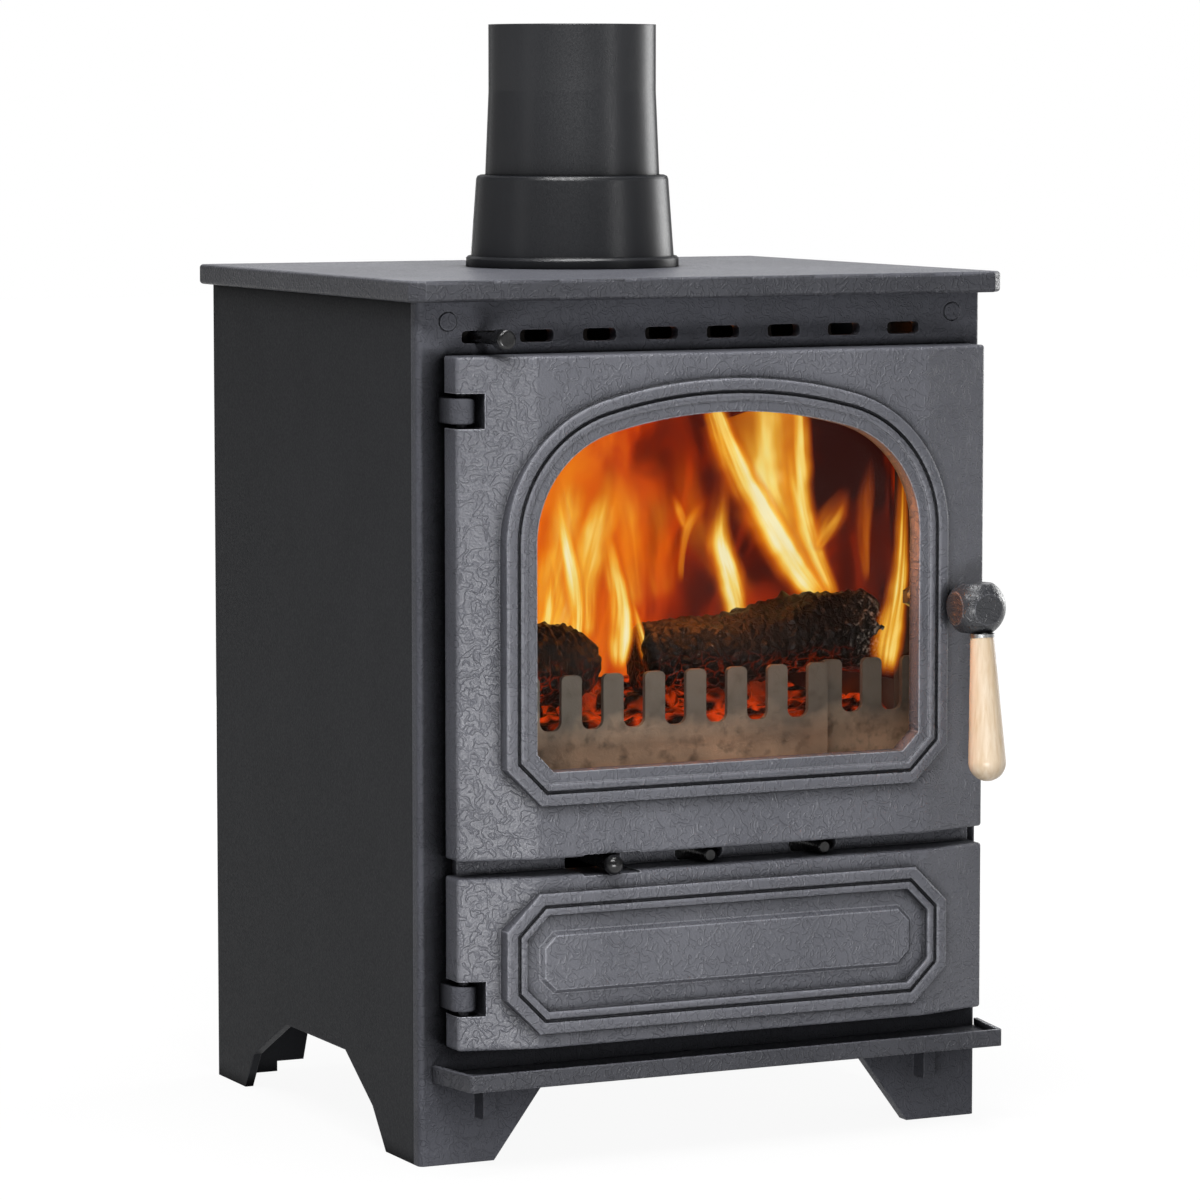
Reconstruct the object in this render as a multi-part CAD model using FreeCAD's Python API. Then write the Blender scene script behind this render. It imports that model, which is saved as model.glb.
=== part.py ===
import FreeCAD, Part
import math
import os

# Multi-fuel stove: steel casing, cast front, glazed cast door, top flue.
# Lengths are millimetres.  While modelling, X runs to the right, Z up from the
# floor, and Y runs back from the fascia, the face that the door closes against.

# Casing
body_width = 430.0
body_depth = 370.0
body_height = 584.0
plate = 6.0
front_plate = 10.0
front_corner = 4.0
base_top = 100.0

# Fits and overruns shared by the whole part
running_gap = 0.06
seat_gap = 0.02
slide_gap = 0.3
cut_over = 5.0

# Feet of the front frame, side panels and back panel
front_foot_inset = 55.0
front_foot_lean = 46.0
foot_arch = 62.0
side_front_foot = 48.0
side_front_lean = 23.0
side_front_knee = 28.0
side_front_run = 48.0
side_rear_foot = 53.0
side_rear_lean = 17.0
side_rear_knee = 27.0
side_rear_run = 62.0
side_arch = 59.0
back_foot = 44.0
back_step = 7.5
back_step_run = 21.0
back_lean = 10.0

# Top plate and flue
top_thickness = 14.5
top_side_overhang = 10.4
top_front_overhang = 19.0
top_bow = 4.0
top_corner = 9.0
top_edge_round = 2.5
flue_back = 213.0
flue_hole_radius = 57.0
collar_flange_radius = 76.5
collar_flange = 7.5
collar_foot_radius = 73.0
collar_neck_radius = 69.0
collar_height = 65.5
collar_round = 3.0
pipe_radius = 62.5
pipe_end_radius = 60.0
pipe_wall = 2.5
pipe_taper = 97.5
pipe_swage = 38.0
pipe_seat = 25.0
pipe_gap = 0.6

# Rear outlet cover
outlet_radius = 60.0
outlet_cover_radius = 76.0
outlet_cover = 5.0
outlet_drop = 92.0
outlet_bolt_ring = 68.0
outlet_bolt_radius = 3.0
outlet_bolt_head = 5.5
outlet_bolt_cap = 4.0
outlet_bolt_count = 3

# Air slots of the fascia and the two plugs
slot_length = 25.0
slot_height = 8.6
slot_round = 3.0
slot_pitch = 46.8
slot_count = 7
slot_drop = 24.2
slot_row_shift = 13.3
plug_radius = 6.0
plug_groove = 0.8
plug_sink = 2.0
plug_proud = 0.8
plug_inset = 22.5
plug_drop = 13.5

# Airwash control
airwash_left = 8.0
airwash_right = 16.0
airwash_inset = 45.0
airwash_rod_radius = 4.0
airwash_reach = 33.0
airwash_knob_radius = 6.75
airwash_knob_length = 14.0
airwash_knob_round = 2.5
airwash_end = 9.0
slide_plate = 3.0
slide_lap = 4.7
guide_lip = 3.0
guide_wall = 4.0
guide_lip_plate = 2.5

# Door leaf: a three-faced bay made of two panels joined by a slotted band
door_left_margin = 17.0
door_right_margin = 10.5
door_top_margin = 36.0
door_bottom = 82.0
door_gap = 1.5
door_edge_depth = 26.0
door_front_depth = 40.0
door_bay = 52.5
door_plate = 10.0
door_corner_round = 3.0
door_rim_round = 2.0
door_back_chamfer = 5.0
groove_bottom = 198.5
groove_height = 12.0
band_depth = 9.0
band_lap = 6.0
band_inset = 2.0
panel_rib = 12.0
aperture_left_inset = 47.0
aperture_right_inset = 29.0
aperture_top_drop = 56.0
aperture_corner = 10.0

# Window and its moulding
moulding_left = 28.0
moulding_right = 38.5
moulding_top = 17.5
moulding_bottom = 36.5
moulding_width = 22.5
crown_radius = 340.0
shoulder_radius = 76.0
window_chamfer = 12.5
bead_outer = 8.0
bead_groove = 2.0
bead_inner = 5.0
bead_height = 5.5
bead_groove_depth = 3.2
bead_round = 1.4
bead_soft_share = 0.3
lip_drop = 1.5
moulding_root = 8.0

# Lower panel moulding and raised field
octagon_margin = 10.5
octagon_chamfer = 24.5
field_inset = 26.0
field_inset_z = 26.5
field_chamfer = 10.0
field_height = 3.0
field_bevel = 3.0

# Glazing
glass = 4.0
glass_lap = 11.0
glass_room = 1.5
gasket = 2.0
gasket_outer = 9.5
gasket_inner = 3.5
clip_step = 7.0
clip_reach = 5.0
clip_width = 16.0
clip_plate = 2.5
clip_screw_radius = 2.0
clip_screw_grip = 5.0
clip_head_radius = 3.2
clip_head = 2.0

# Rope seal in the back of the door
rope_width = 8.4
rope_groove_depth = 5.0
rope_groove_room = 0.3
rope_outset = 8.5
rope_corner = 14.0
rope_crush_gap = 0.3
rope_edge_round = 2.0

# Hinges
hinge_inset = 24.0
hinge_depth = 19.0
knuckle_radius = 9.4
knuckle_height = 17.5
knuckle_round = 1.5
hinge_notch_height = 23.6
hinge_notch_room = 2.1
hinge_top_drop = 72.0
hinge_bottom_rise = 117.3
hinge_pin_radius = 3.6
hinge_pin_hold = 14.0
hinge_lug_clear = 1.0

# Handle, spindle and latch
handle_inset = 38.5
handle_rise = 369.0
head_depth = 65.0
head_ball = 20.5
head_half_width = 17.0
head_half_depth = 17.5
head_half_height = 17.0
neck_head_radius = 15.0
neck_door_radius = 10.0
neck_clear = 0.5
spindle_radius = 5.0
spindle_socket = 24.0
spacer_radius = 8.0
cam_thickness = 6.0
cam_hub_radius = 8.0
cam_reach = 24.0
cam_width = 14.0
keeper = 2.5
keeper_width = 18.0
keeper_height = 34.0
keeper_edge = 1.5
keeper_screw_radius = 2.5
keeper_screw_pitch = 22.0
keeper_screw_grip = 6.0
keeper_screw_head = 4.0
nut_across = 15.0
nut_thickness = 7.0
grip_forward = 8.5
grip_lean_deg = 5.5
grip_length = 99.0
grip_top_radius = 8.2
grip_end_radius = 13.0
ferrule_radius = 8.7
ferrule_length = 3.0
stud_radius = 4.0
stud_hold = 60.0
stud_head_hold = 9.0

# Primary air controls on the band
air_slot_length = 37.0
air_slot_height = 9.5
round_end_share = 0.48
air_slot_drop = 1.0
air_pitch = 88.4
air_left_shift = -9.2
air_travel = 11.0
air_pin_radius = 4.35
air_pin_reach = 27.0
air_pin_chamfer = 0.8
air_slide_height = 16.0
air_slide_lap = 1.5
air_hole_length = 8.0
air_hole_height = 7.0
air_hole_shift = 15.0

# Riddling control
riddle_shift = -91.5
riddle_travel = 12.0
riddle_rod_radius = 4.3
riddle_knob_radius = 6.7
riddle_reach = 45.0
riddle_neck = 5.5
riddle_notch_height = 14.6
riddle_notch_room = 0.8
riddle_plate = 9.0
riddle_plate_start = 38.0
riddle_bar_count = 8
riddle_bar_gap = 14.0
riddle_border = 22.0

# Grate, rails and fire fence
grate_start = 20.0
grate_plate = 13.0
grate_bar_gap = 13.0
grate_bar_count = 8
grate_border = 30.0
grate_end_gap = 4.0
rail_foot = 20.0
rail_step = 24.0
rail_reach = 34.0
fence_start = 45.0
fence_plate = 4.0
fence_top = 323.0
fence_tine = 15.4
fence_pitch = 32.0
fence_slot_depth = 38.0
fence_slot_round = 6.5
fence_tine_round = 4.0
fence_tine_count = 8
fence_end_gap = 2.3
fence_side_gap = 2.0
fence_end_setback = 12.0

# Fire bricks and baffle
brick = 25.0
brick_front = 20.0
brick_gap = 0.3
baffle = 12.0
baffle_front = 95.0
baffle_drop = 76.7
baffle_fall_deg = 15.0

# Fuel on the grate: a bed of embers and two logs
bed_height = 80.0
bed_side_gap = 4.0
bed_front_gap = 6.0
bed_rear_gap = 12.0
bed_slope = 16.0
coal_radius = 12.0
coal_count = 12
coal_sink_share = 0.45
large_log_radius = 27.0
large_log_sink = 3.0
large_log_tilt = 13.0
large_log_taper_share = 0.94
large_log_end_shares = (-0.065, 0.967)
small_log_radius = 26.0
small_log_sink = 6.0
small_log_tilt = 2.0
small_log_taper_share = 0.62
small_log_end_shares = (-0.717, -0.239)
bark_shares = (1.0, 0.9, 1.04, 0.94, 1.0, 0.88, 0.97, 1.05, 0.91)

# Ash pan
pan_side_room = 50.0
pan_front = 18.0
pan_rear_room = 30.0
pan_height = 62.0
pan_wall = 2.0
pan_grip_width = 70.0
pan_grip_reach = 7.0
pan_grip_rise = 34.0
pan_grip_height = 10.0
pan_grip_plate = 2.0

# Hearth shelf and its lugs
shelf_top = 69.0
shelf_thickness = 11.5
shelf_reach = 48.5
shelf_inset = 3.5
shelf_slant = 7.5
shelf_rim = 3.0
shelf_dish = 5.0
shelf_round = 3.0
shelf_shift = 5.5
lug_inset = 45.0
lug_width = 9.0
lug_reach = 15.0
lug_drop = 26.0
lug_round = 3.0

# Places worked out from the sizes above
half_width = body_width / 2
inner_half = half_width - plate
inner_back = body_depth - plate
top_of_stove = body_height + top_thickness
slot_z = body_height - slot_drop
aperture_left = -half_width + aperture_left_inset
aperture_right = half_width - aperture_right_inset
aperture_top = body_height - aperture_top_drop
aperture_bottom = base_top
door_left = -half_width + door_left_margin
door_right = half_width - door_right_margin
door_top = body_height - door_top_margin
groove_top = groove_bottom + groove_height
groove_z = groove_bottom + groove_height / 2
pocket_floor = door_plate - door_front_depth
glass_front = pocket_floor + gasket
glass_back = glass_front + glass
moulding_x = (door_left + moulding_left + door_right - moulding_right) / 2
moulding_half = (door_right - moulding_right - door_left - moulding_left) / 2
window_half = moulding_half - moulding_width
window_top = door_top - moulding_top - moulding_width
window_bottom = groove_top + moulding_bottom + moulding_width
crown_z = window_top - crown_radius
crown_gap = crown_radius - shoulder_radius
shoulder_span = window_half - shoulder_radius
spring_z = crown_z + math.sqrt(crown_gap ** 2 - shoulder_span ** 2)
bead_front = -door_front_depth - bead_height
hinge_x = -half_width + hinge_inset
hinge_y = -hinge_depth
hinge_heights = (hinge_bottom_rise, body_height - hinge_top_drop)
handle_x = half_width - handle_inset
facet_slope = (door_front_depth - door_edge_depth) / door_bay
handle_face = -door_edge_depth - facet_slope * (door_right - handle_x)
cam_front = front_plate + keeper + slide_gap
cam_back = cam_front + cam_thickness
airwash_x = -half_width + airwash_inset
airwash_front = front_plate + slide_gap
air_xs = (air_left_shift, air_left_shift + air_pitch)
air_z = groove_z - air_slot_drop
air_slide_front = slide_gap - door_gap
riddle_base = groove_z - riddle_plate / 2
grate_base = groove_z + riddle_plate / 2 + slide_gap
grate_top = grate_base + grate_plate
brick_height = body_height - baffle_drop - grate_top
brick_top = grate_top + brick_height
fire_half = inner_half - brick
fence_rear = fence_start + fence_end_setback + fence_plate
fence_half = (fence_pitch * (fence_tine_count - 1) + fence_tine) / 2
fence_end_room = inner_half - fence_side_gap - fence_half - fence_end_gap
fence_end_tine_count = 1 + math.floor((fence_end_room - fence_tine) / fence_pitch)
bed_top = grate_top + bed_height
grip_top_z = handle_rise - head_half_height - ferrule_length
grip_top_y = -head_depth - grip_forward
grip_lean = math.radians(grip_lean_deg)
grip_way = FreeCAD.Vector(0, -math.sin(grip_lean), -math.cos(grip_lean))
grip_ball_run = grip_length - grip_end_radius
front_reach = -grip_top_y + grip_ball_run * math.sin(grip_lean) + grip_end_radius
rear_reach = body_depth + outlet_cover + outlet_bolt_cap

# The part's own origin lies on the floor under the middle of its box.
datum = FreeCAD.Vector(0, (front_reach - rear_reach) / 2, 0)


def vec(x, y, z):
    return FreeCAD.Vector(x, y, z)


def block(xs, ys, zs):
    """Box between three (low, high) pairs."""
    return Part.makeBox(xs[1] - xs[0], ys[1] - ys[0], zs[1] - zs[0], vec(xs[0], ys[0], zs[0]))


def about(middle, half):
    """The (low, high) pair that lies evenly about a middle."""
    return (middle - half, middle + half)


def past(span):
    """A (low, high) pair that runs past both of its ends, for a cut."""
    return (span[0] - cut_over, span[1] + cut_over)


def rod(radius, start, end):
    """Cylinder between two points."""
    return Part.makeCylinder(radius, (end - start).Length, start, end - start)


def cone(radius_start, radius_end, start, end):
    """Cone between two points."""
    return Part.makeCone(radius_start, radius_end, (end - start).Length, start, end - start)


def rod_y(radius, x, z, ys):
    """Cylinder that lies front to back."""
    return rod(radius, vec(x, ys[0], z), vec(x, ys[1], z))


def rod_z(radius, x, y, zs):
    """Cylinder that stands upright."""
    return rod(radius, vec(x, y, zs[0]), vec(x, y, zs[1]))


def prism(points, travel):
    """Closed polygon pushed along a vector."""
    return Part.Face(Part.makePolygon(points + points[:1])).extrude(travel)


def edges_along(shape, direction, keep=None):
    """Straight edges parallel to a direction, where keep(middle) agrees."""
    found = []
    for edge in shape.Edges:
        if edge.Curve.TypeId != "Part::GeomLine":
            continue
        way = edge.tangentAt(edge.FirstParameter)
        if way.cross(direction).Length > 1e-6:
            continue
        if keep is None or keep(edge.CenterOfMass):
            found.append(edge)
    return found


def rounded_block(xs, ys, zs, radius, direction):
    """Box whose edges along one direction are rounded."""
    body = block(xs, ys, zs)
    return body.makeFillet(radius, edges_along(body, direction))


def fuse(first, *others):
    """One clean solid from shapes that touch or cross."""
    return first.multiFuse(list(others)).removeSplitter()


def revolve_z(points, x, y):
    """Closed (radius, z) outline turned about an upright axis."""
    corners = [vec(x + radius, y, z) for radius, z in points]
    face = Part.Face(Part.makePolygon(corners + corners[:1]))
    return face.revolve(vec(x, y, 0), vec(0, 0, 1), 360)


def mirror_x(shape):
    """The same shape on the other side of the stove's middle plane."""
    return shape.mirror(vec(0, 0, 0), vec(1, 0, 0))


def nut_prism(across, start, travel):
    """Hexagonal prism that lies front to back, given its size across flats."""
    corner = across / math.sqrt(3)
    turns = [math.radians(60 * k + 30) for k in range(6)]
    points = [start + vec(corner * math.cos(t), 0, corner * math.sin(t)) for t in turns]
    return prism(points, vec(0, travel, 0))


def arch_wire(offset, y):
    """Window outline grown by an offset: cut bottom corners under a three-centred arch."""
    half = window_half + offset
    low = window_bottom - offset
    crown = crown_radius + offset
    shoulder = shoulder_radius + offset
    corner = window_chamfer + offset * (2 - math.sqrt(2))
    meet = math.asin(shoulder_span / crown_gap)

    def crown_point(angle):
        return vec(moulding_x + crown * math.sin(angle), y, crown_z + crown * math.cos(angle))

    def shoulder_point(side, angle):
        reach = shoulder_span + shoulder * math.sin(angle)
        return vec(moulding_x + side * reach, y, spring_z + shoulder * math.cos(angle))

    shoulder_mid = (meet + math.pi / 2) / 2
    left, right = moulding_x - half, moulding_x + half
    foot = [vec(left, y, spring_z), vec(left, y, low + corner), vec(left + corner, y, low),
            vec(right - corner, y, low), vec(right, y, low + corner), vec(right, y, spring_z)]
    edges = [Part.makeLine(a, b) for a, b in zip(foot, foot[1:])]
    edges.append(Part.Arc(foot[-1], shoulder_point(1, shoulder_mid), crown_point(meet)).toShape())
    edges.append(Part.Arc(crown_point(meet), crown_point(0), crown_point(-meet)).toShape())
    edges.append(Part.Arc(crown_point(-meet), shoulder_point(-1, shoulder_mid), foot[0]).toShape())
    return Part.Wire(edges)


def octagon_wire(half, low, high, corner, offset, y):
    """Long octagon grown by an offset."""
    left, right = moulding_x - half - offset, moulding_x + half + offset
    low, high = low - offset, high + offset
    corner = corner + offset * (2 - math.sqrt(2))
    points = [vec(left + corner, y, low), vec(right - corner, y, low), vec(right, y, low + corner),
              vec(right, y, high - corner), vec(right - corner, y, high), vec(left + corner, y, high),
              vec(left, y, high - corner), vec(left, y, low + corner)]
    return Part.makePolygon(points + points[:1])


def panel_wire(offset, y):
    """Outer outline of the lower panel's moulding, grown by an offset."""
    low = door_bottom + octagon_margin
    high = groove_bottom - octagon_margin
    return octagon_wire(moulding_half, low, high, octagon_chamfer, offset, y)


def window_moulding_wire(offset, y):
    """Outer outline of the window's moulding, grown by an offset."""
    return arch_wire(moulding_width + offset, y)


def field_wire(offset, y):
    """Outline of the lower panel's raised field, grown by an offset."""
    low = door_bottom + octagon_margin + field_inset_z
    high = groove_bottom - octagon_margin - field_inset_z
    return octagon_wire(moulding_half - field_inset, low, high, field_chamfer, offset, y)


def stack(outline, levels):
    """Solid through an outline at several (offset, y) levels."""
    return Part.makeLoft([outline(offset, y) for offset, y in levels], True, True)


def beads(outline):
    """Two rounded beads with a groove between them, on a filled plateau."""
    root = moulding_root - door_front_depth
    soft = bead_round * bead_soft_share
    hill = stack(outline, [(0, root), (0, bead_front + bead_round), (-soft, bead_front + soft),
                           (-bead_round, bead_front)])
    outer, inner = -bead_outer, -bead_outer - bead_groove
    floor = bead_front + bead_groove_depth
    over = bead_front - cut_over
    wall, crest = bead_front + bead_round, bead_front + soft
    wide = stack(outline, [(outer, floor), (outer, wall), (outer + soft, crest),
                           (outer + bead_round, bead_front), (outer + bead_round, over)])
    core = stack(outline, [(inner, floor), (inner, wall), (inner - soft, crest),
                           (inner - bead_round, bead_front), (inner - bead_round, over)])
    return hill.cut(wide.cut(core))


def sunk(outline, inset, floor):
    """Cutter that sinks everything inside an inset outline to a floor."""
    edge = inset - bead_round
    soft = bead_round * bead_soft_share
    wall, crest = bead_front + bead_round, bead_front + soft
    return stack(outline, [(-inset, floor), (-inset, wall), (soft - inset, crest),
                           (-edge, bead_front), (-edge, bead_front - cut_over)])


def bay_panel(zs):
    """One three-faced panel of the door with eased edges."""
    edge, front, back = -door_edge_depth, -door_front_depth, -door_gap
    points = [vec(door_left + door_back_chamfer, back, zs[0]), vec(door_right, back, zs[0]),
              vec(door_right, edge, zs[0]), vec(door_right - door_bay, front, zs[0]),
              vec(door_left + door_bay, front, zs[0]), vec(door_left, edge, zs[0]),
              vec(door_left, back - door_back_chamfer, zs[0])]
    panel = prism(points, vec(0, 0, zs[1] - zs[0]))
    outer = edges_along(panel, vec(0, 0, 1), lambda p: abs(p.y - edge) < door_rim_round
                        and (p.x > door_right - door_rim_round or p.x < door_left + door_rim_round))
    panel = panel.makeFillet(door_corner_round, outer)
    ends = [e for e in panel.Edges if (e.BoundBox.ZMax - e.BoundBox.ZMin) < door_rim_round
            and e.CenterOfMass.y < edge + door_corner_round]
    return panel.makeFillet(door_rim_round, ends)


def rope_floor():
    """Depth of the bottom of the rope's groove."""
    return -door_gap - rope_groove_depth


def rope_ring(half_section, ys, round_edges):
    """Frame-shaped ring that follows the rope's path on the back of the door."""
    lows = (aperture_left - rope_outset, aperture_bottom - rope_outset)
    highs = (aperture_right + rope_outset, aperture_top + rope_outset)
    spans = []
    for grow in (half_section, -half_section):
        xs = (lows[0] - grow, highs[0] + grow)
        zs = (lows[1] - grow, highs[1] + grow)
        spans.append(rounded_block(xs, ys, zs, rope_corner + grow, vec(0, 1, 0)))
    ring = spans[0].cut(spans[1])
    if round_edges:
        rear = [e for e in ring.Edges if abs(e.CenterOfMass.y - ys[1]) < seat_gap]
        ring = ring.makeFillet(rope_edge_round, rear)
    return ring


def side_panel():
    """Left steel side with the arch between its two feet."""
    x = -half_width
    front, back = front_plate, body_depth
    front_foot, rear_foot = front + side_front_foot, back - side_rear_foot
    front_knee, rear_knee = front_foot + side_front_lean, rear_foot - side_rear_lean
    outline = [(front, 0), (front_foot, 0), (front_knee, side_front_knee),
               (front_knee + side_front_run, side_arch), (rear_knee - side_rear_run, side_arch),
               (rear_knee, side_rear_knee), (rear_foot, 0), (back, 0),
               (back, body_height), (front, body_height)]
    return prism([vec(x, y, z) for y, z in outline], vec(plate, 0, 0))


def back_panel():
    """Steel back with stepped feet and the rear outlet hole."""
    foot, step = inner_half - back_foot + plate, inner_half - back_foot + plate - back_step_run
    half = [(inner_half, 0), (foot, 0), (foot, back_step), (step, back_step), (step - back_lean, foot_arch)]
    outline = half + [(-x, z) for x, z in reversed(half)]
    outline += [(-inner_half, body_height), (inner_half, body_height)]
    panel = prism([vec(x, inner_back, z) for x, z in outline], vec(0, plate, 0))
    hole = rod_y(outlet_radius, 0, outlet_z(), past((inner_back, body_depth)))
    bolts = [rod_y(outlet_bolt_radius + seat_gap, x, z, past((inner_back, body_depth)))
             for x, z in outlet_bolt_places()]
    return panel.cut([hole] + bolts)


def outlet_z():
    """Height of the rear outlet."""
    return body_height - outlet_drop


def outlet_bolt_places():
    """(x, z) of the bolts round the rear outlet."""
    turns = [2 * math.pi * k / outlet_bolt_count + math.pi / 2 for k in range(outlet_bolt_count)]
    return [(outlet_bolt_ring * math.cos(t), outlet_z() + outlet_bolt_ring * math.sin(t)) for t in turns]


def rear_outlet_cover():
    """Blanking plate over the rear outlet."""
    ys = (body_depth, body_depth + outlet_cover)
    disc = rod_y(outlet_cover_radius, 0, outlet_z(), ys)
    rim = [e for e in disc.Edges if e.CenterOfMass.y > ys[1] - seat_gap]
    disc = disc.makeChamfer(outlet_cover / 4, rim)
    holes = [rod_y(outlet_bolt_radius + seat_gap, x, z, past(ys))
             for x, z in outlet_bolt_places()]
    return disc.cut(holes)


def rear_cover_bolts():
    """Hexagon bolts through the outlet cover and the back panel."""
    head = body_depth + outlet_cover
    bolts = []
    for x, z in outlet_bolt_places():
        shank = rod_y(outlet_bolt_radius, x, z, (inner_back, head))
        bolts.append(fuse(nut_prism(2 * outlet_bolt_head, vec(x, head, z), outlet_bolt_cap), shank))
    return Part.makeCompound(bolts)


def base_plate():
    """Floor of the ash space."""
    return block((-inner_half, inner_half), (front_plate, inner_back), (base_top - plate, base_top))


def fascia_slot_xs():
    """Middles of the fascia's air slots."""
    first = slot_row_shift - slot_pitch * (slot_count - 1) / 2
    return [first + slot_pitch * k for k in range(slot_count)]


def slot_cutters(xs, z, length, height, round_radius, ys):
    """Rounded slots along a row."""
    zs = about(z, height / 2)
    return [rounded_block(about(x, length / 2), ys, zs, round_radius, vec(0, 1, 0)) for x in xs]


def knuckle(z):
    """Hinge knuckle on its lug, drilled for the pin."""
    zs = about(z, knuckle_height / 2)
    barrel = rod_z(knuckle_radius, hinge_x, hinge_y, zs)
    lug = block(about(hinge_x, knuckle_radius), (hinge_y, front_plate / 2), zs)
    body = fuse(barrel, lug)
    rims = [e for e in body.Edges if (e.BoundBox.ZMax - e.BoundBox.ZMin) < seat_gap
            and e.CenterOfMass.y < hinge_y / 2 - hinge_lug_clear]
    body = body.makeFillet(knuckle_round, rims)
    bore = past(zs)
    return body.cut(rod_z(hinge_pin_radius + running_gap, hinge_x, hinge_y, bore))


def shelf_lug(x):
    """Rib under the shelf with a rounded foot."""
    low = shelf_top - shelf_thickness - lug_drop
    rib = block(about(x, lug_width / 2), (-lug_reach, front_plate / 2), (low, shelf_top - shelf_thickness))
    toe = edges_along(rib, vec(1, 0, 0), lambda p: p.y < 0 and p.z < low + seat_gap)
    return rib.makeFillet(lug_round, toe)


def front_frame():
    """Cast front: fascia, door aperture, hinge knuckles, shelf lugs and front feet."""
    foot = half_width - front_foot_inset
    half = [(half_width, 0), (foot, 0), (foot - front_foot_lean, foot_arch)]
    outline = half + [(-x, z) for x, z in reversed(half)]
    outline += [(-half_width, body_height), (half_width, body_height)]
    frame = prism([vec(x, 0, z) for x, z in outline], vec(0, front_plate, 0))
    rim = half_width - seat_gap
    corners = edges_along(frame, vec(0, 0, 1), lambda p: p.y < seat_gap and abs(p.x) > rim)
    frame = frame.makeFillet(front_corner, corners)
    through = past((0, front_plate))
    holes = [rounded_block((aperture_left, aperture_right), through, (aperture_bottom, aperture_top),
                           aperture_corner, vec(0, 1, 0))]
    holes += slot_cutters(fascia_slot_xs(), slot_z, slot_length, slot_height, slot_round, through)
    travel = airwash_left + airwash_right
    rod_slot = travel + 2 * airwash_rod_radius + slot_round / 3
    rod_middle = airwash_x + (airwash_right - airwash_left) / 2
    holes += slot_cutters([rod_middle], slot_z, rod_slot, slot_height, slot_round, through)
    holes += [rod_y(plug_radius + plug_groove, x, plug_z(), (-cut_over, plug_sink)) for x in plug_xs()]
    tapped = (front_plate - keeper_screw_grip, through[1])
    holes += [rod_y(keeper_screw_radius + seat_gap, keeper_x(), z, tapped) for z in keeper_screw_zs()]
    frame = frame.cut(holes)
    lugs = [shelf_lug(side * (half_width - lug_inset)) for side in (-1, 1)]
    return fuse(frame, *[knuckle(z) for z in hinge_heights], *lugs)


def plug_xs():
    """Places of the two fascia plugs across the front."""
    return (plug_inset - half_width, half_width - plug_inset)


def plug_z():
    """Height of the fascia plugs."""
    return body_height - plug_drop


def fascia_plugs():
    """Round caps in the fascia's fixing holes, a groove wide of their edge."""
    return Part.makeCompound([rod_y(plug_radius, x, plug_z(), (-plug_proud, plug_sink)) for x in plug_xs()])


def top_plate():
    """Cast top with a slightly bowed front, cut corners and the flue hole."""
    half, back = half_width + top_side_overhang, body_depth
    edge, crown = -top_front_overhang, -top_front_overhang - top_bow
    z = body_height
    side = [vec(half - top_corner, edge, z), vec(half, edge + top_corner, z), vec(half, back, z),
            vec(-half, back, z), vec(-half, edge + top_corner, z), vec(-half + top_corner, edge, z)]
    edges = [Part.makeLine(a, b) for a, b in zip(side, side[1:])]
    edges.append(Part.Arc(side[-1], vec(0, crown, z), side[0]).toShape())
    slab = Part.Face(Part.Wire(edges)).extrude(vec(0, 0, top_thickness))
    rims = [e for e in slab.Edges if (e.BoundBox.ZMax - e.BoundBox.ZMin) < seat_gap]
    slab = slab.makeFillet(top_edge_round, rims)
    return slab.cut(rod_z(flue_hole_radius, 0, flue_back, past((z, top_of_stove))))


def collar_seat_z():
    """Height of the ledge inside the collar that carries the pipe."""
    return top_of_stove + collar_height - pipe_seat


def flue_collar():
    """Cast collar bolted down on the top plate, with a ledge for the pipe."""
    low, high = top_of_stove, top_of_stove + collar_height
    shoulder = low + collar_flange
    outline = [(flue_hole_radius, low), (collar_flange_radius, low),
               (collar_flange_radius, shoulder - collar_round / 2),
               (collar_flange_radius - collar_round / 2, shoulder),
               (collar_foot_radius, shoulder), (collar_neck_radius, high - collar_round),
               (collar_neck_radius - collar_round * bead_soft_share, high - collar_round * bead_soft_share),
               (collar_neck_radius - collar_round, high),
               (pipe_radius + pipe_gap, high), (pipe_radius + pipe_gap, collar_seat_z()),
               (flue_hole_radius, collar_seat_z())]
    return revolve_z(outline, 0, flue_back)


def flue_pipe():
    """Flue pipe that stands in the collar and narrows to a straight end for the next pipe."""
    low = collar_seat_z()
    straight = top_of_stove + collar_height
    taper = straight + pipe_taper - pipe_swage
    high = straight + pipe_taper + pipe_swage / 4
    end = pipe_end_radius
    outline = [(pipe_radius - pipe_wall, low), (pipe_radius, low), (pipe_radius, straight), (end, taper),
               (end, high), (end - pipe_wall, high), (end - pipe_wall, taper),
               (pipe_radius - pipe_wall, straight)]
    return revolve_z(outline, 0, flue_back)


def hearth_shelf():
    """Dished tray on the front with slanted ends."""
    half, base = half_width - shelf_inset, shelf_top - shelf_thickness

    def tray(inset, zs):
        reach, back = inset - shelf_reach, 0
        rear, front = half - inset, half - shelf_slant - inset
        points = [vec(shelf_shift + rear, back, zs[0]), vec(shelf_shift + front, reach, zs[0]),
                  vec(shelf_shift - front, reach, zs[0]), vec(shelf_shift - rear, back, zs[0])]
        return prism(points, vec(0, 0, zs[1] - zs[0]))

    body = tray(0, (base, shelf_top))
    body = body.makeFillet(shelf_round, [e for e in body.Edges if e.CenterOfMass.y < -shelf_reach / 2
                                         and abs(e.tangentAt(e.FirstParameter).z) > 0.9])
    return body.cut(tray(shelf_rim, (shelf_top - shelf_dish, shelf_top + cut_over)))


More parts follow.
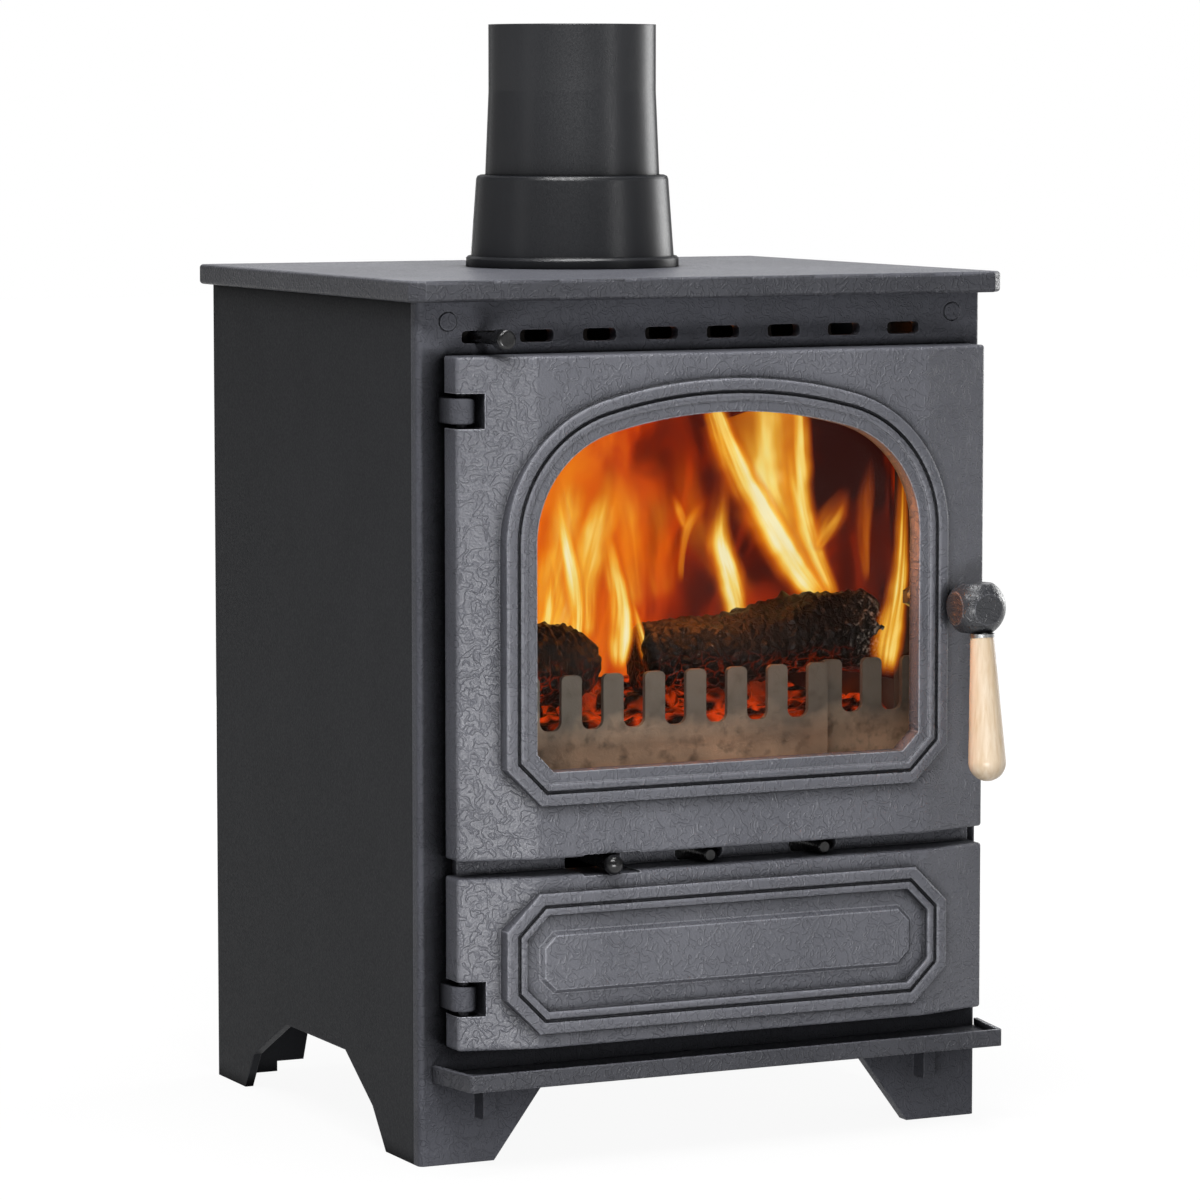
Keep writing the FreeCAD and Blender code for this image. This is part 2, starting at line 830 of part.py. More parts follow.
def guide_pair(xs, z, height, face):
    """Two hooked strips that hold a slide plate against a face."""
    inner = height / 2 + slide_gap
    lip = face + slide_gap + slide_plate + slide_gap
    strips = []
    for side in (1, -1):
        back = lip + guide_lip_plate
        outline = [(face, inner), (lip, inner), (lip, inner - guide_lip), (back, inner - guide_lip),
                   (back, inner + guide_wall), (face, inner + guide_wall)]
        points = [vec(xs[0], y, z + side * rise) for y, rise in outline]
        strips.append(prism(points, vec(xs[1] - xs[0], 0, 0)))
    return Part.makeCompound(strips)


def airwash_slide_span():
    """Ends of the airwash slide plate at rest."""
    return (airwash_x - airwash_end, fascia_slot_xs()[-1] + slot_length / 2 + airwash_end)


def airwash_slide_height():
    """Height of the airwash slide plate."""
    return slot_height + 2 * slide_lap


def airwash_slide():
    """Slotted plate behind the fascia, in line with its slots at the left end of the travel."""
    ys = (airwash_front, airwash_front + slide_plate)
    sheet = block(airwash_slide_span(), ys, about(slot_z, airwash_slide_height() / 2))
    xs = [x + airwash_left for x in fascia_slot_xs()]
    return sheet.cut(slot_cutters(xs, slot_z, slot_length, slot_height, slot_round,
                                  past(ys)))


def airwash_rod():
    """Rod from the slide plate out through the fascia."""
    return rod_y(airwash_rod_radius, airwash_x, slot_z, (-airwash_reach, airwash_front))


def airwash_knob():
    """Short round knob with eased rims."""
    ys = (-airwash_reach - airwash_knob_length, -airwash_reach)
    knob = rod_y(airwash_knob_radius, airwash_x, slot_z, ys)
    rims = [e for e in knob.Edges if e.Curve.TypeId == "Part::GeomCircle"]
    return knob.makeFillet(airwash_knob_round, rims)


def airwash_guides():
    """Strips on the inside of the fascia that carry the airwash slide."""
    low, high = airwash_slide_span()
    xs = (low + airwash_right, high - airwash_left)
    return guide_pair(xs, slot_z, airwash_slide_height(), front_plate)


def keeper_x():
    """Middle of the latch keeper across the jamb."""
    return aperture_right + keeper_edge + keeper_width / 2


def keeper_screw_zs():
    """Heights of the keeper's two screws."""
    return about(handle_rise, keeper_screw_pitch / 2)


def latch_keeper():
    """Wear plate on the inside of the jamb that the cam bears on."""
    ys = (front_plate, front_plate + keeper)
    face = block(about(keeper_x(), keeper_width / 2), ys, about(handle_rise, keeper_height / 2))
    sinks = [cone(keeper_screw_radius + seat_gap, keeper_screw_head + seat_gap,
                  vec(keeper_x(), ys[0], z), vec(keeper_x(), ys[1], z)) for z in keeper_screw_zs()]
    return face.cut(sinks)


def keeper_screws():
    """Countersunk screws that hold the keeper."""
    screws = []
    for z in keeper_screw_zs():
        head = cone(keeper_screw_radius, keeper_screw_head,
                    vec(keeper_x(), front_plate, z), vec(keeper_x(), front_plate + keeper, z))
        shank = rod_y(keeper_screw_radius, keeper_x(), z, (front_plate - keeper_screw_grip, front_plate))
        screws.append(fuse(head, shank))
    return Part.makeCompound(screws)


def rail_edge():
    """Distance of the grate rails' step from the middle plane."""
    return inner_half - rail_step


def grate_rails():
    """Stepped rails on both sides: the upper step carries the grate, the lower the riddling plate."""
    low, ledge = riddle_base - slide_gap - rail_foot, riddle_base - slide_gap
    inner = rail_edge() - rail_reach
    outline = [(inner_half, low), (inner, low), (inner, ledge), (rail_edge(), ledge),
               (rail_edge(), grate_base), (inner_half, grate_base)]
    points = [vec(x, grate_start, z) for x, z in outline]
    right = prism(points, vec(0, inner_back - grate_start, 0))
    return Part.makeCompound([mirror_x(right), right])


def barred_plate(xs, ys, zs, border, gap, count):
    """Flat plate with long openings between bars that run front to back."""
    sheet = block(xs, ys, zs)
    inner = (xs[0] + border, xs[1] - border)
    pitch = (inner[1] - inner[0] + gap) / count
    width = pitch - gap
    slots = []
    for k in range(count):
        low = inner[0] + pitch * k
        slots.append(block((low, low + width), (ys[0] + border, ys[1] - border), past(zs)))
    return sheet.cut(slots)


def grate():
    """Cast grate that lies on the upper step of the rails."""
    half = inner_half - grate_end_gap
    return barred_plate((-half, half), (grate_start, inner_back - grate_end_gap), (grate_base, grate_top),
                        grate_border, grate_bar_gap, grate_bar_count)


def riddling_plate():
    """Sliding plate under the grate that shakes the ash through."""
    half = rail_edge() - riddle_travel - 2 * slide_gap
    ys = (riddle_plate_start, inner_back - riddle_plate_start)
    return barred_plate((-half, half), ys, (riddle_base, riddle_base + riddle_plate),
                        riddle_border, riddle_bar_gap, riddle_bar_count)


def riddling_rod():
    """Rod from the riddling plate through the door's notch."""
    ys = (riddle_neck - riddle_reach, riddle_plate_start)
    return rod_y(riddle_rod_radius, riddle_shift, groove_z, ys)


def riddling_knob():
    """Ball knob on the end of the riddling rod, flat where the rod meets it."""
    ball = Part.makeSphere(riddle_knob_radius, vec(riddle_shift, -riddle_reach, groove_z))
    keep = about(-riddle_reach, riddle_neck)
    return ball.common(block(about(riddle_shift, 2 * riddle_knob_radius), (keep[0] - riddle_neck, keep[1]),
                             about(groove_z, 2 * riddle_knob_radius)))


def comb(low_x, count, ys):
    """Upright plate with round-topped tines."""
    high_x = low_x + fence_pitch * (count - 1) + fence_tine
    sheet = block((low_x, high_x), ys, (grate_top, fence_top))
    gap = fence_pitch - fence_tine
    middles = [low_x + fence_tine + gap / 2 + fence_pitch * k for k in range(count - 1)]
    zs = (fence_top - fence_slot_depth, fence_top + 2 * fence_slot_round)
    cutters = [rounded_block(about(x, gap / 2), past(ys), zs, fence_slot_round,
                             vec(0, 1, 0)) for x in middles]
    sheet = sheet.cut(cutters)
    tips = edges_along(sheet, vec(0, 1, 0), lambda p: p.z > fence_top - seat_gap)
    return sheet.makeFillet(fence_tine_round, tips)


def fire_fence():
    """Comb that keeps the fuel off the glass."""
    return comb(-fence_half, fence_tine_count, (fence_start, fence_start + fence_plate))


def fence_ends():
    """Short combs set back at both ends of the fire fence."""
    ys = (fence_rear - fence_plate, fence_rear)
    right = comb(fence_half + fence_end_gap, fence_end_tine_count, ys)
    return Part.makeCompound([mirror_x(right), right])


def brick_line(y):
    """Height of the bricks' top: level in front, then falling to the back under the baffle."""
    return brick_top - max(0, y - baffle_front) * math.tan(math.radians(baffle_fall_deg))


def topped_brick(xs, ys):
    """Fire brick on the grate whose top follows the baffle."""
    bends = [y for y in (ys[0], baffle_front, ys[1]) if ys[0] <= y <= ys[1]]
    outline = [(ys[1], grate_top), (ys[0], grate_top)] + [(y, brick_line(y)) for y in bends]
    return prism([vec(xs[0], y, z) for y, z in outline], vec(xs[1] - xs[0], 0, 0))


def side_brick():
    """Right fire brick."""
    return topped_brick((inner_half - brick, inner_half - brick_gap),
                        (fence_start + brick_front, inner_back - brick - brick_gap))


def rear_firebrick():
    """Rear fire brick, behind both side bricks."""
    half = inner_half - brick_gap
    return topped_brick((-half, half), (inner_back - brick, inner_back - brick_gap))


def baffle_plate():
    """Throat plate that lies on the bricks, falls to the back and turns the smoke forward."""
    half, back = inner_half - brick_gap, inner_back - brick_gap
    outline = [(baffle_front, brick_line(baffle_front)), (back, brick_line(back)),
               (back, brick_line(back) + baffle), (baffle_front, brick_line(baffle_front) + baffle)]
    return prism([vec(-half, y, z) for y, z in outline], vec(2 * half, 0, 0))


def log(end_shares, radius, sink, tilt, taper_share):
    """Many-sided log across the fire, sunk a little into the embers, that tapers to its right end."""
    y, low = fence_rear + large_log_radius, bed_top + radius - sink
    turns = [2 * math.pi * k / len(bark_shares) for k in range(len(bark_shares))]
    sections = []
    for end_share, z, size in zip(end_shares, (low, low + tilt), (radius, radius * taper_share)):
        points = [vec(end_share * fire_half, y + size * share * math.cos(t), z + size * share * math.sin(t))
                  for t, share in zip(turns, bark_shares)]
        sections.append(Part.makePolygon(points + points[:1]))
    return Part.makeLoft(sections, True, True)


def large_log():
    """Long log that lies on the embers behind the fence."""
    return log(large_log_end_shares, large_log_radius, large_log_sink, large_log_tilt, large_log_taper_share)


def small_log():
    """Burnt log end to the left of the long one."""
    return log(small_log_end_shares, small_log_radius, small_log_sink, small_log_tilt, small_log_taper_share)


def fuel_bed():
    """Heap of embers on the grate with coals on top, pressed down by the logs."""
    half = fire_half - bed_side_gap
    start, end = fence_rear + bed_front_gap, inner_back - brick - bed_rear_gap

    def layer(inset, z):
        points = [vec(-half + inset, start + inset, z), vec(half - inset, start + inset, z),
                  vec(half - inset, end - inset, z), vec(-half + inset, end - inset, z)]
        return Part.makePolygon(points + points[:1])

    heap = Part.makeLoft([layer(0, grate_top), layer(bed_slope, bed_top)], True, True)
    reach_x = half - bed_slope - coal_radius
    reach_y = (end - start) / 2 - bed_slope - coal_radius
    coals = []
    for k in range(coal_count):
        turn = math.pi * (3 - math.sqrt(5)) * k
        out = math.sqrt((2 * k + 1) / (2 * coal_count))
        middle = vec(reach_x * out * math.cos(turn), (start + end) / 2 + reach_y * out * math.sin(turn),
                     bed_top - coal_sink_share * coal_radius)
        coals.append(Part.makeSphere(coal_radius, middle))
    return fuse(heap, *coals).cut([large_log(), small_log()])


def pan_half():
    """Half the width of the ash pan."""
    return inner_half - pan_side_room


def ash_pan():
    """Folded steel pan on the base plate."""
    ys = (pan_front, inner_back - pan_rear_room)
    zs = (base_top, base_top + pan_height)
    outer = block(about(0, pan_half()), ys, zs)
    inner = block(about(0, pan_half() - pan_wall), (ys[0] + pan_wall, ys[1] - pan_wall),
                  (zs[0] + pan_wall, zs[1] + cut_over))
    return outer.cut(inner)


def ash_pan_grip():
    """Folded grip on the front of the ash pan."""
    z = base_top + pan_grip_rise
    front = pan_front - pan_grip_reach
    outline = [(pan_front, z), (front, z), (front, z - pan_grip_height),
               (front + pan_grip_plate, z - pan_grip_height), (front + pan_grip_plate, z - pan_grip_plate),
               (pan_front, z - pan_grip_plate)]
    return prism([vec(-pan_grip_width / 2, y, h) for y, h in outline], vec(pan_grip_width, 0, 0))


def door_leaf():
    """Cast door: two bay panels, the band between them, mouldings, pockets, slots and notches."""
    upper = bay_panel((groove_top, door_top))
    lower = bay_panel((door_bottom, groove_bottom))
    band = block((door_left + band_inset + door_back_chamfer, door_right - band_inset),
                 (-band_depth, -door_gap), (groove_bottom - band_lap, groove_top + band_lap))
    front = -door_front_depth
    bead_band = bead_outer + bead_groove + bead_inner
    frame = beads(window_moulding_wire).cut(sunk(window_moulding_wire, bead_band, bead_front + lip_drop))
    panel = beads(panel_wire).cut(sunk(panel_wire, bead_band, front))
    field = stack(field_wire, [(0, front + moulding_root), (0, front), (-field_bevel, front - field_height)])
    leaf = fuse(upper, lower, band, frame, panel, field)
    through = past((bead_front, 0))
    rebate = glass_lap + glass_room
    ledge = rebate + clip_step
    cutters = [stack(arch_wire, [(0, through[0]), (0, pocket_floor + cut_over)]),
               stack(arch_wire, [(rebate, pocket_floor), (rebate, through[1])]),
               stack(arch_wire, [(ledge, glass_back), (ledge, through[1])]),
               block(about(moulding_x, window_half + glass_lap), (pocket_floor, through[1]),
                     (door_bottom + panel_rib + rope_width, groove_bottom - panel_rib)),
               rope_ring(rope_width / 2 + rope_groove_room, (rope_floor(), cut_over), False),
               rod_y(spindle_radius + running_gap, handle_x, handle_rise, through),
               riddling_notch()]
    for z in hinge_heights:
        zs = about(z, hinge_notch_height / 2)
        right = hinge_x + knuckle_radius + hinge_notch_room
        cutters.append(block((door_left - cut_over, right), through, zs))
        cutters.append(rod_z(hinge_pin_radius + seat_gap, hinge_x, hinge_y,
                             (zs[0] - hinge_pin_hold, zs[1] + hinge_pin_hold)))
    cutters += slot_cutters(air_xs, air_z, air_slot_length, air_slot_height,
                            air_slot_height * round_end_share, past((-band_depth, 0)))
    cutters += [rod_y(clip_screw_radius + seat_gap, x, z, (glass_back - clip_screw_grip, glass_back))
                for x, z, _ in clip_places()]
    return leaf.cut(cutters)


def riddling_notch():
    """Notch in the band and panels wide enough for the riddling knob as the door swings over it."""
    reach = riddle_shift - hinge_x
    depth = riddle_reach + hinge_y
    far = math.hypot(reach + riddle_travel, depth) + riddle_knob_radius + riddle_notch_room
    near = reach - riddle_travel - riddle_knob_radius - riddle_notch_room
    return block((hinge_x + near, hinge_x + far), (bead_front - cut_over, cut_over),
                 about(groove_z, riddle_notch_height / 2))


def clip_places():
    """(x, z, way) of the glass clips' screws: two on each side and two below."""
    out = glass_lap + glass_room + clip_step / 2
    rise_shares = (0.25, 0.8)
    run_shares = (-0.5, 0.5)
    rises = [window_bottom + share * (spring_z - window_bottom) for share in rise_shares]
    runs = [moulding_x + share * window_half for share in run_shares]
    places = [(x, window_bottom - out, vec(0, 0, 1)) for x in runs]
    for side in (-1, 1):
        places += [(moulding_x + side * (window_half + out), z, vec(-side, 0, 0)) for z in rises]
    return places


def glass_clips():
    """Flat clips that hold the glass from behind."""
    clips = []
    ys = (glass_back, glass_back + clip_plate)
    outer, inner = clip_step / 2 - slide_gap, clip_step / 2 + glass_room + clip_reach
    for x, z, way in clip_places():
        ends = sorted((-outer, inner)) if way.x + way.z > 0 else sorted((outer, -inner))
        xs = (x + ends[0], x + ends[1]) if way.x else about(x, clip_width / 2)
        zs = about(z, clip_width / 2) if way.x else (z + ends[0], z + ends[1])
        hole = rod_y(clip_screw_radius + seat_gap, x, z, past(ys))
        clips.append(block(xs, ys, zs).cut(hole))
    return Part.makeCompound(clips)


def glass_clip_screws():
    """Round-headed screws through the glass clips."""
    screws = []
    seat = glass_back + clip_plate
    for x, z, _ in clip_places():
        head = rod_y(clip_head_radius, x, z, (seat, seat + clip_head))
        screws.append(fuse(head, rod_y(clip_screw_radius, x, z, (glass_back - clip_screw_grip, seat))))
    return Part.makeCompound(screws)


def door_glass():
    """Ceramic glass pane."""
    return stack(arch_wire, [(glass_lap, glass_front), (glass_lap, glass_back)])


def glass_gasket():
    """Flat seal between the glass and the door."""
    ys = (pocket_floor, glass_front)
    outer = stack(arch_wire, [(gasket_outer, y) for y in ys])
    inner = stack(arch_wire, [(gasket_inner, y) for y in past(ys)])
    return outer.cut(inner)


def door_rope():
    """Rope seal in its groove, just clear of the fascia while the door is shut."""
    return rope_ring(rope_width / 2, (rope_floor(), -rope_crush_gap), True)


def hinge_pins():
    """Two pins held in the door and turning in the knuckles."""
    half = hinge_notch_height / 2 + hinge_pin_hold
    pins = [rod_z(hinge_pin_radius, hinge_x, hinge_y, about(z, half)) for z in hinge_heights]
    return Part.makeCompound(pins)


def air_slide_half():
    """Half the length of a primary air slide."""
    return air_slot_length / 2 + air_travel + air_slide_lap


def air_slide(x):
    """Plate behind an air slot with its air hole beside the pin."""
    ys = (air_slide_front, air_slide_front + slide_plate)
    sheet = block(about(x, air_slide_half()), ys, about(air_z, air_slide_height / 2))
    hole = slot_cutters([x + air_hole_shift], air_z, air_hole_length, air_hole_height,
                        air_hole_height * round_end_share, past(ys))
    return sheet.cut(hole)


def air_pin(x):
    """Pin that stands out through an air slot."""
    pin = rod_y(air_pin_radius, x, air_z, (-air_pin_reach, air_slide_front))
    tip = [e for e in pin.Edges if e.CenterOfMass.y < seat_gap - air_pin_reach]
    return pin.makeChamfer(air_pin_chamfer, tip)


def air_slide_guides():
    """Strips on the back of the door that carry both primary air slides."""
    reach = air_slide_half() + air_travel
    return guide_pair((air_xs[0] - reach, air_xs[1] + reach), air_z, air_slide_height, -door_gap)


def handle_head():
    """Ball with flats, on a neck that stands off the door."""
    middle = vec(handle_x, -head_depth, handle_rise)
    ball = Part.makeSphere(head_ball, middle)
    ball = ball.common(block(about(middle.x, head_half_width), about(middle.y, head_half_depth),
                             about(middle.z, head_half_height)))
    seat = handle_face - neck_clear - facet_slope * neck_door_radius
    flare = bead_front - neck_clear
    stem = rod_y(neck_door_radius, handle_x, handle_rise, (flare, seat))
    neck = cone(neck_door_radius, neck_head_radius, vec(handle_x, flare, handle_rise),
                vec(handle_x, -head_depth + head_half_depth / 2, handle_rise))
    head = fuse(ball, neck, stem)
    socket = rod_y(spindle_radius + seat_gap, handle_x, handle_rise, (spindle_front(), seat + cut_over))
    top = grip_point(-ferrule_length)
    stud = rod(stud_radius + seat_gap, top - grip_way * stud_head_hold, top + grip_way * cut_over)
    return head.cut([socket, stud])


def spindle_front():
    """Front end of the spindle inside the head."""
    return handle_face - spindle_socket


def grip_point(run):
    """Point on the grip's axis, measured down from the top of the wood."""
    return vec(handle_x, grip_top_y, grip_top_z) + grip_way * run


def handle_ferrule():
    """Steel ring between the head and the wood, cut level where it meets the head."""
    ring = rod(ferrule_radius, grip_point(-2 * ferrule_length), grip_point(0))
    above = handle_rise - head_half_height
    ring = ring.cut(block(about(handle_x, 2 * ferrule_radius), about(grip_top_y, 2 * ferrule_radius),
                          (above, above + 2 * ferrule_radius)))
    return ring.cut(rod(stud_radius + seat_gap, grip_point(-2 * ferrule_length), grip_point(cut_over)))


def handle_grip():
    """Turned wooden grip that swells to a round end."""
    ball = Part.makeSphere(grip_end_radius, grip_point(grip_ball_run))
    taper = cone(grip_top_radius, grip_end_radius, grip_point(0), grip_point(grip_ball_run))
    grip = fuse(taper, ball)
    return grip.cut(rod(stud_radius + seat_gap, grip_point(-cut_over), grip_point(stud_hold)))


def grip_stud():
    """Steel stud that holds the grip to the head."""
    return rod(stud_radius, grip_point(-ferrule_length - stud_head_hold), grip_point(stud_hold))


def latch_spindle():
    """Spindle that joins the handle to the cam through the door."""
    return rod_y(spindle_radius, handle_x, handle_rise, (spindle_front(), cam_back + nut_thickness))


def latch_spacer():
    """Sleeve that keeps the cam off the back of the door."""
    ys = (slide_gap - door_gap, cam_front)
    sleeve = rod_y(spacer_radius, handle_x, handle_rise, ys)
    return sleeve.cut(rod_y(spindle_radius + seat_gap, handle_x, handle_rise, past(ys)))


def latch_cam():
    """Tongue that lies behind the keeper while the door is shut."""
    ys = (cam_front, cam_back)
    hub = rod_y(cam_hub_radius, handle_x, handle_rise, ys)
    tongue = block((handle_x, handle_x + cam_reach), ys, about(handle_rise, cam_width / 2))
    tip = edges_along(tongue, vec(0, 1, 0), lambda p: p.x > handle_x + seat_gap)
    tongue = tongue.makeFillet(cam_width / 3, tip)
    hole = rod_y(spindle_radius + seat_gap, handle_x, handle_rise, past(ys))
    return fuse(hub, tongue).cut(hole)


def spindle_nut():
    """Nut on the end of the spindle."""
    nut = nut_prism(nut_across, vec(handle_x, cam_back, handle_rise), nut_thickness)
    return nut.cut(rod_y(spindle_radius + seat_gap, handle_x, handle_rise,
                         past((cam_back, cam_back + nut_thickness))))


nodes = {
    "left_side_panel": side_panel(),
    "right_side_panel": mirror_x(side_panel()),
    "back_panel": back_panel(),
    "base_plate": base_plate(),
    "front_frame": front_frame(),
    "fascia_plugs": fascia_plugs(),
    "top_plate": top_plate(),
    "flue_collar": flue_collar(),
    "flue_pipe": flue_pipe(),
    "rear_outlet_cover": rear_outlet_cover(),
    "rear_cover_bolts": rear_cover_bolts(),
    "hearth_shelf": hearth_shelf(),
    "grate_rails": grate_rails(),
    "grate": grate(),
    "fire_fence": fire_fence(),
    "fence_ends": fence_ends(),
    "left_firebrick": mirror_x(side_brick()),
    "right_firebrick": side_brick(),
    "rear_firebrick": rear_firebrick(),
    "baffle_plate": baffle_plate(),
    "fuel_bed": fuel_bed(),
    "large_log": large_log(),
    "small_log": small_log(),
    "ash_pan": ash_pan(),
    "ash_pan_grip": ash_pan_grip(),
    "airwash_guides": airwash_guides(),
    "latch_keeper": latch_keeper(),
    "keeper_screws": keeper_screws(),
    "airwash_slide": airwash_slide(),
    "airwash_rod": airwash_rod(),
    "airwash_knob": airwash_knob(),
    "riddling_plate": riddling_plate(),
    "riddling_rod": riddling_rod(),
    "riddling_knob": riddling_knob(),
    "door_leaf": door_leaf(),
    "door_glass": door_glass(),
    "glass_gasket": glass_gasket(),
    "glass_clips": glass_clips(),
    "glass_clip_screws": glass_clip_screws(),
    "door_rope": door_rope(),
    "hinge_pins": hinge_pins(),
    "air_slide_guides": air_slide_guides(),
    "left_air_slide": air_slide(air_xs[0]),
    "left_air_pin": air_pin(air_xs[0]),
    "right_air_slide": air_slide(air_xs[1]),
    "right_air_pin": air_pin(air_xs[1]),
    "handle_head": handle_head(),
    "handle_ferrule": handle_ferrule(),
    "handle_grip": handle_grip(),
    "grip_stud": grip_stud(),
    "latch_spindle": latch_spindle(),
    "latch_spacer": latch_spacer(),
    "latch_cam": latch_cam(),
    "spindle_nut": spindle_nut(),
}

os.makedirs("parts", exist_ok=True)
for name, shape in nodes.items():
    shape.translate(datum)
    shape.exportStep("parts/" + name + ".step")
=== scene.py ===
"""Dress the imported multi-fuel stove: paint, glass, rope seal, fire, studio and camera."""

import logging
import math
from collections.abc import Sequence
from dataclasses import dataclass
from enum import Enum

import bmesh
import bpy
from mathutils import Euler, Matrix, Vector, noise


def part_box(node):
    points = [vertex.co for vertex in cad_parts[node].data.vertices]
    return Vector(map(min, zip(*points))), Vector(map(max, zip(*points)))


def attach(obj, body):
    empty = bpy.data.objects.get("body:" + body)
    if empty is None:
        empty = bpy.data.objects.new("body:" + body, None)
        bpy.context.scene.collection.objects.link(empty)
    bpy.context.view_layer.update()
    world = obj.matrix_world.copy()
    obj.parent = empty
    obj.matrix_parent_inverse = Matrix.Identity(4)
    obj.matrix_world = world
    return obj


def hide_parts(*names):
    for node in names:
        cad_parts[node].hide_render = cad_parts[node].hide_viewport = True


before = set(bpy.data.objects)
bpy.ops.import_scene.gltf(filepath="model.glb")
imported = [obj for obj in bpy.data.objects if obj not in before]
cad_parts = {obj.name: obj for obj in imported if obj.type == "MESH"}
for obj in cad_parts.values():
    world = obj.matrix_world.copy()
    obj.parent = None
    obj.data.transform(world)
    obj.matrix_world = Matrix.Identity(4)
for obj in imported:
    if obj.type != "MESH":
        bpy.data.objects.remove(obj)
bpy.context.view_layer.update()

LOG = logging.getLogger("stove")
MM = 0.001
BLACK = "#000000"
WHITE = "#ffffff"
# Turn in radians from one coal to the next that keeps them from lining up.
GOLDEN_TURN = 2.399963
Colour = tuple[float, float, float, float]
Triple = tuple[float, float, float]
Pair = tuple[float, float]
Names = tuple[str, ...]
Node = bpy.types.Node
Socket = bpy.types.NodeSocket
Tree = bpy.types.NodeTree
Inputs = dict[str | int, object]


def linear(hex_colour: str) -> Colour:
    """Turn an sRGB hex colour into linear light.

    Args:
        hex_colour: Six hex digits with a leading hash.

    Returns:
        Linear red, green, blue and a full alpha.
    """
    parts = [int(hex_colour[k:k + 2], 16) / 255 for k in (1, 3, 5)]
    red, green, blue = (c / 12.92 if c <= 0.04045 else ((c + 0.055) / 1.055) ** 2.4 for c in parts)
    return (red, green, blue, 1.0)


def per_mm(size_mm: float) -> float:
    """Give the texture scale whose features are about size_mm wide on Object coordinates."""
    return 1.0 / (size_mm * MM)


def add(
    tree: Tree,
    kind: str,
    inputs: Inputs | None = None,
    stops: Sequence[tuple[float, str]] = (),
    **options: object,
) -> Node:
    """Add a node, set its options, fill its sockets and link what comes from other nodes.

    Args:
        tree: Node tree that gets the node.
        kind: Node type without the ShaderNode prefix.
        inputs: Socket name or index to a plain value, a hex colour, a socket to link from, or a
            node whose first output in use is linked.
        stops: Positions and hex colours for a colour ramp.
        **options: Attributes set on the node itself.

    Returns:
        The new node.
    """
    made = tree.nodes.new("ShaderNode" + kind)
    for key, value in options.items():
        setattr(made, key, value)
    for key, value in (inputs or {}).items():
        if isinstance(value, Node):
            value = next(socket for socket in value.outputs if socket.enabled)
        if isinstance(value, Socket):
            tree.links.new(value, made.inputs[key])
        else:
            made.inputs[key].default_value = linear(value) if isinstance(value, str) else value
    if stops:
        ramp = made.color_ramp.elements
        while len(ramp) < len(stops):
            ramp.new(1.0)
        for element, (place, colour) in zip(ramp, stops):
            element.position = place
            element.color = linear(colour)
    return made


def seen(tree: Tree) -> Node:
    """Tell rays that show the background from rays that light the stove.

    Args:
        tree: Node tree of the world or the floor.

    Returns:
        Node that gives one for camera, glossy and transmission rays, else zero.
    """
    rays = add(tree, "LightPath").outputs
    either = add(tree, "Math", {0: rays["Is Camera Ray"], 1: rays["Is Glossy Ray"]}, operation="MAXIMUM")
    return add(tree, "Math", {0: either, 1: rays["Is Transmission Ray"]}, operation="MAXIMUM")


class Body(Enum):
    """Bodies that carry the new pieces."""

    STOVE = "stove"
    DOOR = "door"


class Finish:
    """A surface finish that makes one Blender material."""

    title: str

    def paint(self, tree: Tree, place: Socket) -> Inputs:
        """Wire the finish's pattern.

        Args:
            tree: Node tree of the material.
            place: Object coordinates.

        Returns:
            Inputs of the Principled shader.
        """
        raise NotImplementedError

    def material(self) -> bpy.types.Material:
        """Make the material, once for each title.

        Returns:
            The finished material.
        """
        known = bpy.data.materials.get(self.title)
        if known:
            return known
        made = bpy.data.materials.new(self.title)
        made.use_nodes = True
        tree = made.node_tree
        tree.nodes.clear()
        inputs = self.paint(tree, add(tree, "TexCoord").outputs["Object"])
        shader = add(tree, "BsdfPrincipled", inputs)
        add(tree, "OutputMaterial", {"Surface": shader})
        return made


